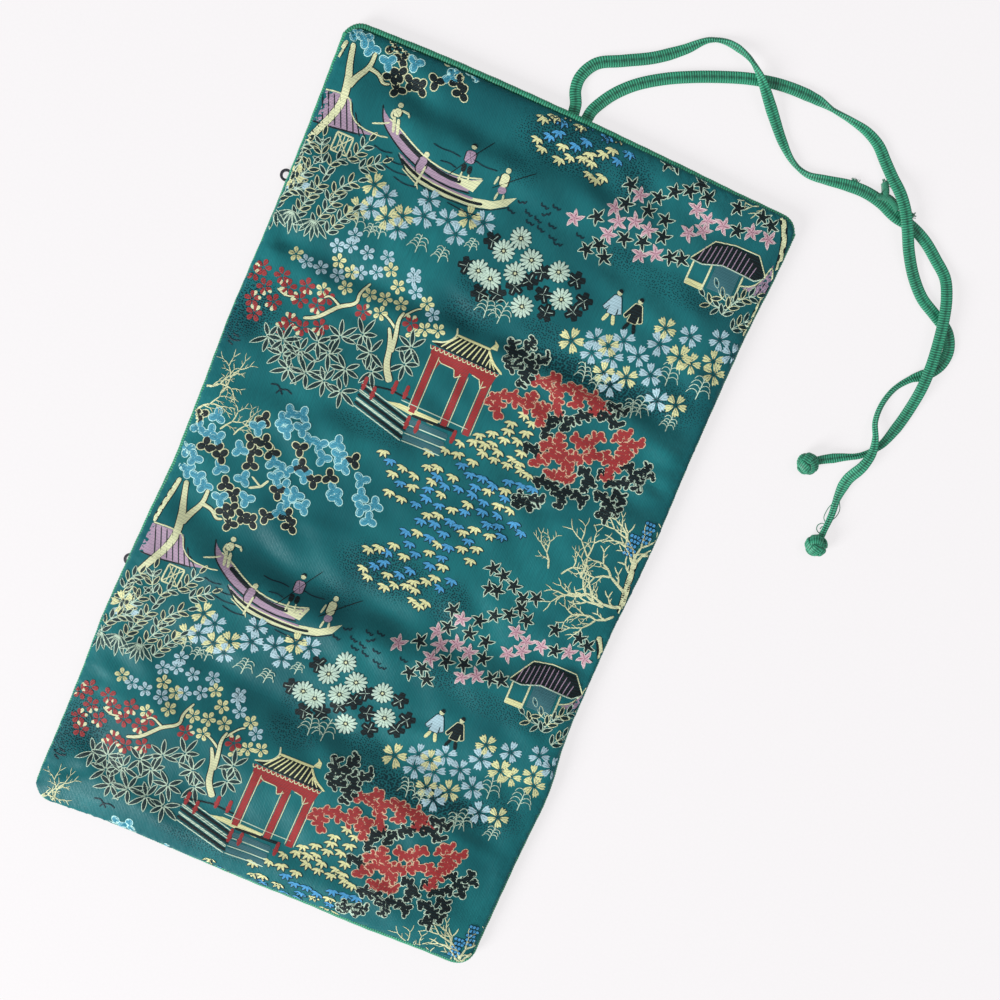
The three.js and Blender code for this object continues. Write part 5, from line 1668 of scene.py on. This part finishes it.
# Frayed tufts: x, y, heading, spread and longest thread
for spot_x, spot_y, heading, spread, longest in table(
    "127.2,202.8,1.9,1.5,1.4 142.5,194.6,1,0.8,1.9 115.2,197.8,1.8,1.3,1.9"
):
    for k in range(22):
        a, reach = heading + weaver.uniform(-0.75, 0.75), weaver.uniform(0.35, 1) * longest
        foot = np.array((spot_x + weaver.uniform(-spread, spread), spot_y + weaver.uniform(-0.4, 0.4), 1.4))
        tip = foot + reach * np.array((math.cos(a), math.sin(a), 0)) + (0, 0, weaver.uniform(-0.6, 0.6))
        loops.append(loose_thread([foot, (foot + tip) / 2 + (jitter(0.2), jitter(0.2), 0.2), tip], 0.14))
points, faces = joined(loops)
fringe = add_object("loose_tie_threads", points, faces, thread)
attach(fringe, "tie_panel")
for tie, node, knot, start, length in (
    (left_tie, "left_tie", left_knot, LEFT_TIE[0], left_length),
    (right_tie, "right_tie", right_knot, RIGHT_TIE[0], right_length),
):
    for obj, part in ((tie, "cord"), (knot, "knot")):
        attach(obj, "tie_panel")
        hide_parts(f"{node}_{part}")

# Pocket faces
SEAM_HEIGHT = 2.35
# Each pocket face with its top, its bottom and its zip
FACES = (
    ("tie_panel_upper_pocket_face", BEYOND, 111.1, "upper"),
    ("tie_panel_lower_pocket_face", 102.1, 69.9, "upper"),
    ("middle_panel_upper_pocket_face", 28.1, -62.0, "lower"),
    ("middle_panel_lower_pocket_face", -71.0, -83.1, "lower"),
)


def pocket_height(x, y, zip_y):
    """The height of a pocket face, which rises to its zip."""
    curl = 2.75 * (1 - smooth((np.abs(y - zip_y) - 4.5) / 10.5))
    slack = 0.3 + 0.1 * np.sin(0.11 * x + 1.3 * np.sin(0.06 * y)) * np.sin(0.19 * y + 0.03 * x)
    flat = 0.22 + curl + slack
    gathers = 0.12 * np.sin(1.3 * x + 0.4 * np.sin(0.3 * x)) * np.exp(-(((np.abs(y - zip_y) - 6) / 3.5) ** 2))
    return SEAM_HEIGHT + (flat + gathers - SEAM_HEIGHT) * smooth(layer_distance(x, y) / 8)


for node, top, bottom, zip_name in FACES:
    body, zip_y = ZIPS[zip_name]
    places = footprint(top, bottom, 1.8, 110, *pad_outline, PAD_CORNER)
    grid = np.dstack([places, pocket_height(places[..., 0], places[..., 1], zip_y)])
    if zip_y < bottom:
        grid = grid[::-1]
    first = abs(grid[0, 0, 1] - zip_y) < 6
    hem = grid[:1] if first else grid[-1:]
    away = 1 if hem[0, 0, 1] > zip_y else -1
    turned = [hem + (0, -away * 0.3, 0.3), hem + (0, away * 0.4, 0.62), hem + (0, away * 2.6, 0.5)]
    grid = np.concatenate([*turned[::-1], grid] if first else [grid, *turned])
    obj = closed_sheet(f"{node}_cloth", grid, grid - (0, 0, CLOTH), maroon)
    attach(obj, body)
    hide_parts(node)
    reach = (min(top, END_Y - PAD_INSET) - bottom) * MM

# Zips
PITCH, TAPE, WIRE_RADIUS = 1.25, 0.5, 0.23
TAPE_END, COIL_END, COIL_LENGTH = 93.4, 90.3, 181
for zip_name, (body, zip_y) in ZIPS.items():
    for part, away in (("upper", 1), ("lower", -1)):
        across = np.linspace(2.35, 7.4, 5)
        along = np.arange(-TAPE_END, TAPE_END + 0.1, 1.7)
        grid = np.zeros((len(across), len(along), 3))
        grid[..., 0] = along
        grid[..., 1] = zip_y + away * across[:, None]
        grid[..., 2] = 4.24 + 0.03 * np.sin(along * 0.31)
        grid = grid if away > 0 else grid[::-1]
        tape = closed_sheet(f"{zip_name}_zip_{part}_tape_weave", grid, grid - (0, 0, TAPE), tape_cloth)
        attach(tape, body)
        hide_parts(f"{zip_name}_zip_{part}_tape")
        t = np.arange(0, 2 * math.pi * COIL_LENGTH / PITCH - 1, math.pi / 7)
        shift = 0 if away > 0 else PITCH / 2
        wire = np.stack([
            -COIL_END + shift + PITCH * t / (2 * math.pi),
            zip_y + away * (1.12 - 0.76 * np.cos(t)),
            4.0 + 0.55 * np.sin(t),
        ], 1)
        rings = wire_rings(wire, WIRE_RADIUS, (1, 0, 0))
        coil = add_object(f"{zip_name}_zip_{part}_coil_wire", *tube_mesh(rings), nylon)
        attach(coil, body)
        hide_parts(f"{zip_name}_zip_{part}_coil")

# Ring bar
BAR_Z, ANCHOR = 3.55, 0.6


def bar_section(x, half_width, half_height, sides, pucker):
    """One rounded section across the ring bar."""
    angles = 2 * math.pi * np.arange(sides) / sides
    a, b = np.cos(angles), np.sin(angles)
    out = np.sign(a) * np.abs(a) ** 0.85 * half_width
    up = np.sign(b) * np.abs(b) ** 0.85 * half_height
    fold = 1 + pucker * np.sin(9 * angles + 0.4 * math.sin(x))
    return np.column_stack([np.full(sides, x), BAR_Y + out * fold, BAR_Z + up * fold])


def lofted(name, stations, material, sides=40):
    """A closed soft form through (x, half width, half height, pucker) stations, eased between them."""
    stations = np.array(table(stations))
    x = np.arange(stations[0, 0], stations[-1, 0] + 0.01, 0.75)
    values = [np.interp(x, stations[:, 0], stations[:, k]) for k in (1, 2, 3)]
    ruffle = 1 + 0.012 * np.sin(x * 0.9) + 0.01 * np.sin(x * 0.37 + 1)
    sections = zip(x, values[0] * ruffle, values[1] * ruffle, values[2])
    rings = [bar_section(at, out, up, sides, pucker) for at, out, up, pucker in sections]
    return add_object(name, *tube_mesh(rings), material)


sleeve = lofted(
    "ring_bar_sleeve_cloth",
    "-65,5.9,0.33,0 -61,6,0.36,0 -58.5,6.4,1.5,0.05 -56,6.9,2.5,0.06 -52,7.25,3.02,0.025 "
    "-30,7.35,3.1,0.006 0,7.4,3.14,0.004 30,7.35,3.1,0.006 50,7.3,3.05,0.02 54,7.1,2.9,0.04 "
    "56.6,6.6,2.5,0.05",
    maroon,
)
filling = lofted(
    "ring_bar_filling_pad", "-55.4,3,1,0 -53,6,2,0 -40,6.4,2.2,0 40,6.4,2.2,0 53,6,2,0 55.4,3,1,0", padding,
    16,
)
end_tab = lofted(
    "ring_bar_end_tab_cloth",
    "56,6.3,2.2,0.05 58,6.4,1.7,0.05 61.2,6.05,0.4,0.01 70,6,0.34,0 72,5.6,0.33,0 73.2,4.6,0.25,0", maroon,
)
anchor_x, anchor_y = np.meshgrid(np.linspace(-79.3, -67.1, 14), np.linspace(-132.8, -121.2, 10))
anchor_grid = np.dstack([anchor_x, anchor_y, 3.86 + 0.02 * np.sin(anchor_x * 2)])
anchor = closed_sheet("ring_bar_anchor_cloth", anchor_grid, anchor_grid - (0, 0, ANCHOR), maroon)
for obj, node, body, slot in (
    (sleeve, "ring_bar_sleeve", "ring_bar", "lining"), (filling, "ring_bar_filling", "ring_bar", "wadding"),
    (end_tab, "ring_bar_end_tab", "ring_bar", "lining"), (anchor, "ring_bar_anchor", "end_flap", "lining"),
):
    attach(obj, body)
    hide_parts(node)


# Stitching
STITCH, STITCH_STEP, STITCH_RADIUS = 1.9, 2.7, 0.16
SEAM_END, HEM_END = 95, 90


def stitch_rows(name, body, rows):
    """Rows of short stitches; each row has two ends and a height function of the cloth above it."""
    circle = [(math.cos(a), math.sin(a)) for a in 2 * math.pi * np.arange(6) / 6]
    parts = []
    for start, end, height in rows:
        start, end = np.array(start, float), np.array(end, float)
        reach = float(np.linalg.norm(end - start))
        ahead = (end - start) / reach
        for at in np.arange(0.6, reach - 2.2, STITCH_STEP):
            rings = []
            for k, step_on in enumerate(np.linspace(0, STITCH, 5)):
                x, y = start + ahead * (at + step_on)
                thick, sink = (STITCH_RADIUS * 0.35, 0.12) if k in (0, 4) else (STITCH_RADIUS, 0.0)
                z = float(height(x, y)) - (0.05 - sink)
                side_x, side_y = -ahead[1] * thick, ahead[0] * thick
                rings.append([(x + side_x * c, y + side_y * c, z + thick * s) for c, s in circle])
            parts.append(tube_mesh(rings))
    obj = add_object(name, *joined(parts), maroon_thread)
    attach(obj, body)


def under_pocket(zip_y):
    """The lower side of a pocket face, as a height function."""
    return lambda x, y: pocket_height(np.array(x), np.array(y), zip_y) - CLOTH


def level(height):
    """A flat height function."""
    return lambda x, y: height


maroon_thread = weave_material("maroon_thread", linear(96, 24, 36), linear(150, 58, 68), 0.0004, 0.55)
POCKET_SEAMS = {"upper": (71.4,), "lower": (26.8, -81.8)}
for zip_name, (body, zip_y) in ZIPS.items():
    under = under_pocket(zip_y)
    hems = [zip_y + away * 6.4 for away in (-1, 1)]
    rows = [((-HEM_END, y), (HEM_END, y), under) for y in hems]
    rows += [((-SEAM_END, y), (SEAM_END, y), under) for y in POCKET_SEAMS[zip_name]]
    stitch_rows(f"{zip_name}_pocket_stitches", body, rows)
box_rows = [((-78.6, y), (-68.4, y), level(3.2)) for y in (-132, -122)]
box_rows += [((x, -132.2), (x, -121.8), level(3.2)) for x in (-78.4, -69)]
stitch_rows("ring_bar_anchor_stitches", "end_flap", box_rows)
stitch_rows("ring_bar_seam_stitches", "ring_bar", [((-50, BAR_Y), (50, BAR_Y), level(BAR_Z - 3.1))])


# Floor
floor_mesh = bpy.data.meshes.new("floor")
corners = [(x, y, 0) for x, y in table("-3,-3 3,-3 3,3 -3,3")]
floor_mesh.from_pydata(corners, [], [(0, 1, 2, 3)])
paper = Shade("pale_paper", Roughness=0.85, Emission_Color=linear(246, 243, 244), Emission_Strength=0.82)
paper_place = paper.node("ShaderNodeTexCoord").outputs["Object"]
grain = paper.noise(paper_place, 900, 4)
paper.to("Base Color", paper.mix(paper.ranged(grain, 0.3, 0.7), linear(106, 105, 106), linear(110, 109, 110)))
paper.bump(grain, 0.00008, 0.3)
floor_mesh.materials.append(paper.material)
floor = bpy.data.objects.new("floor", floor_mesh)
floor.location.z = -0.00002
scene.collection.objects.link(floor)

# Metal parts that stay as the CAD made them
STOPS = [f"{zip_name}_zip_{side}_stop" for zip_name in ZIPS for side in ("left", "right")]
for node, material, slot in (
    ("snap_socket", brass, "brass"), ("snap_stud", brass, "brass"), ("snap_cap", brass, "brass"),
    ("upper_zip_slider", brass, "brass"), ("lower_zip_slider", brass, "brass"),
    ("upper_zip_pull", steel, "pull_metal"), ("lower_zip_pull", steel, "pull_metal"),
    *((stop, steel, "pull_metal") for stop in STOPS),
):
    nodes[node].data.materials.clear()
    nodes[node].data.materials.append(material)
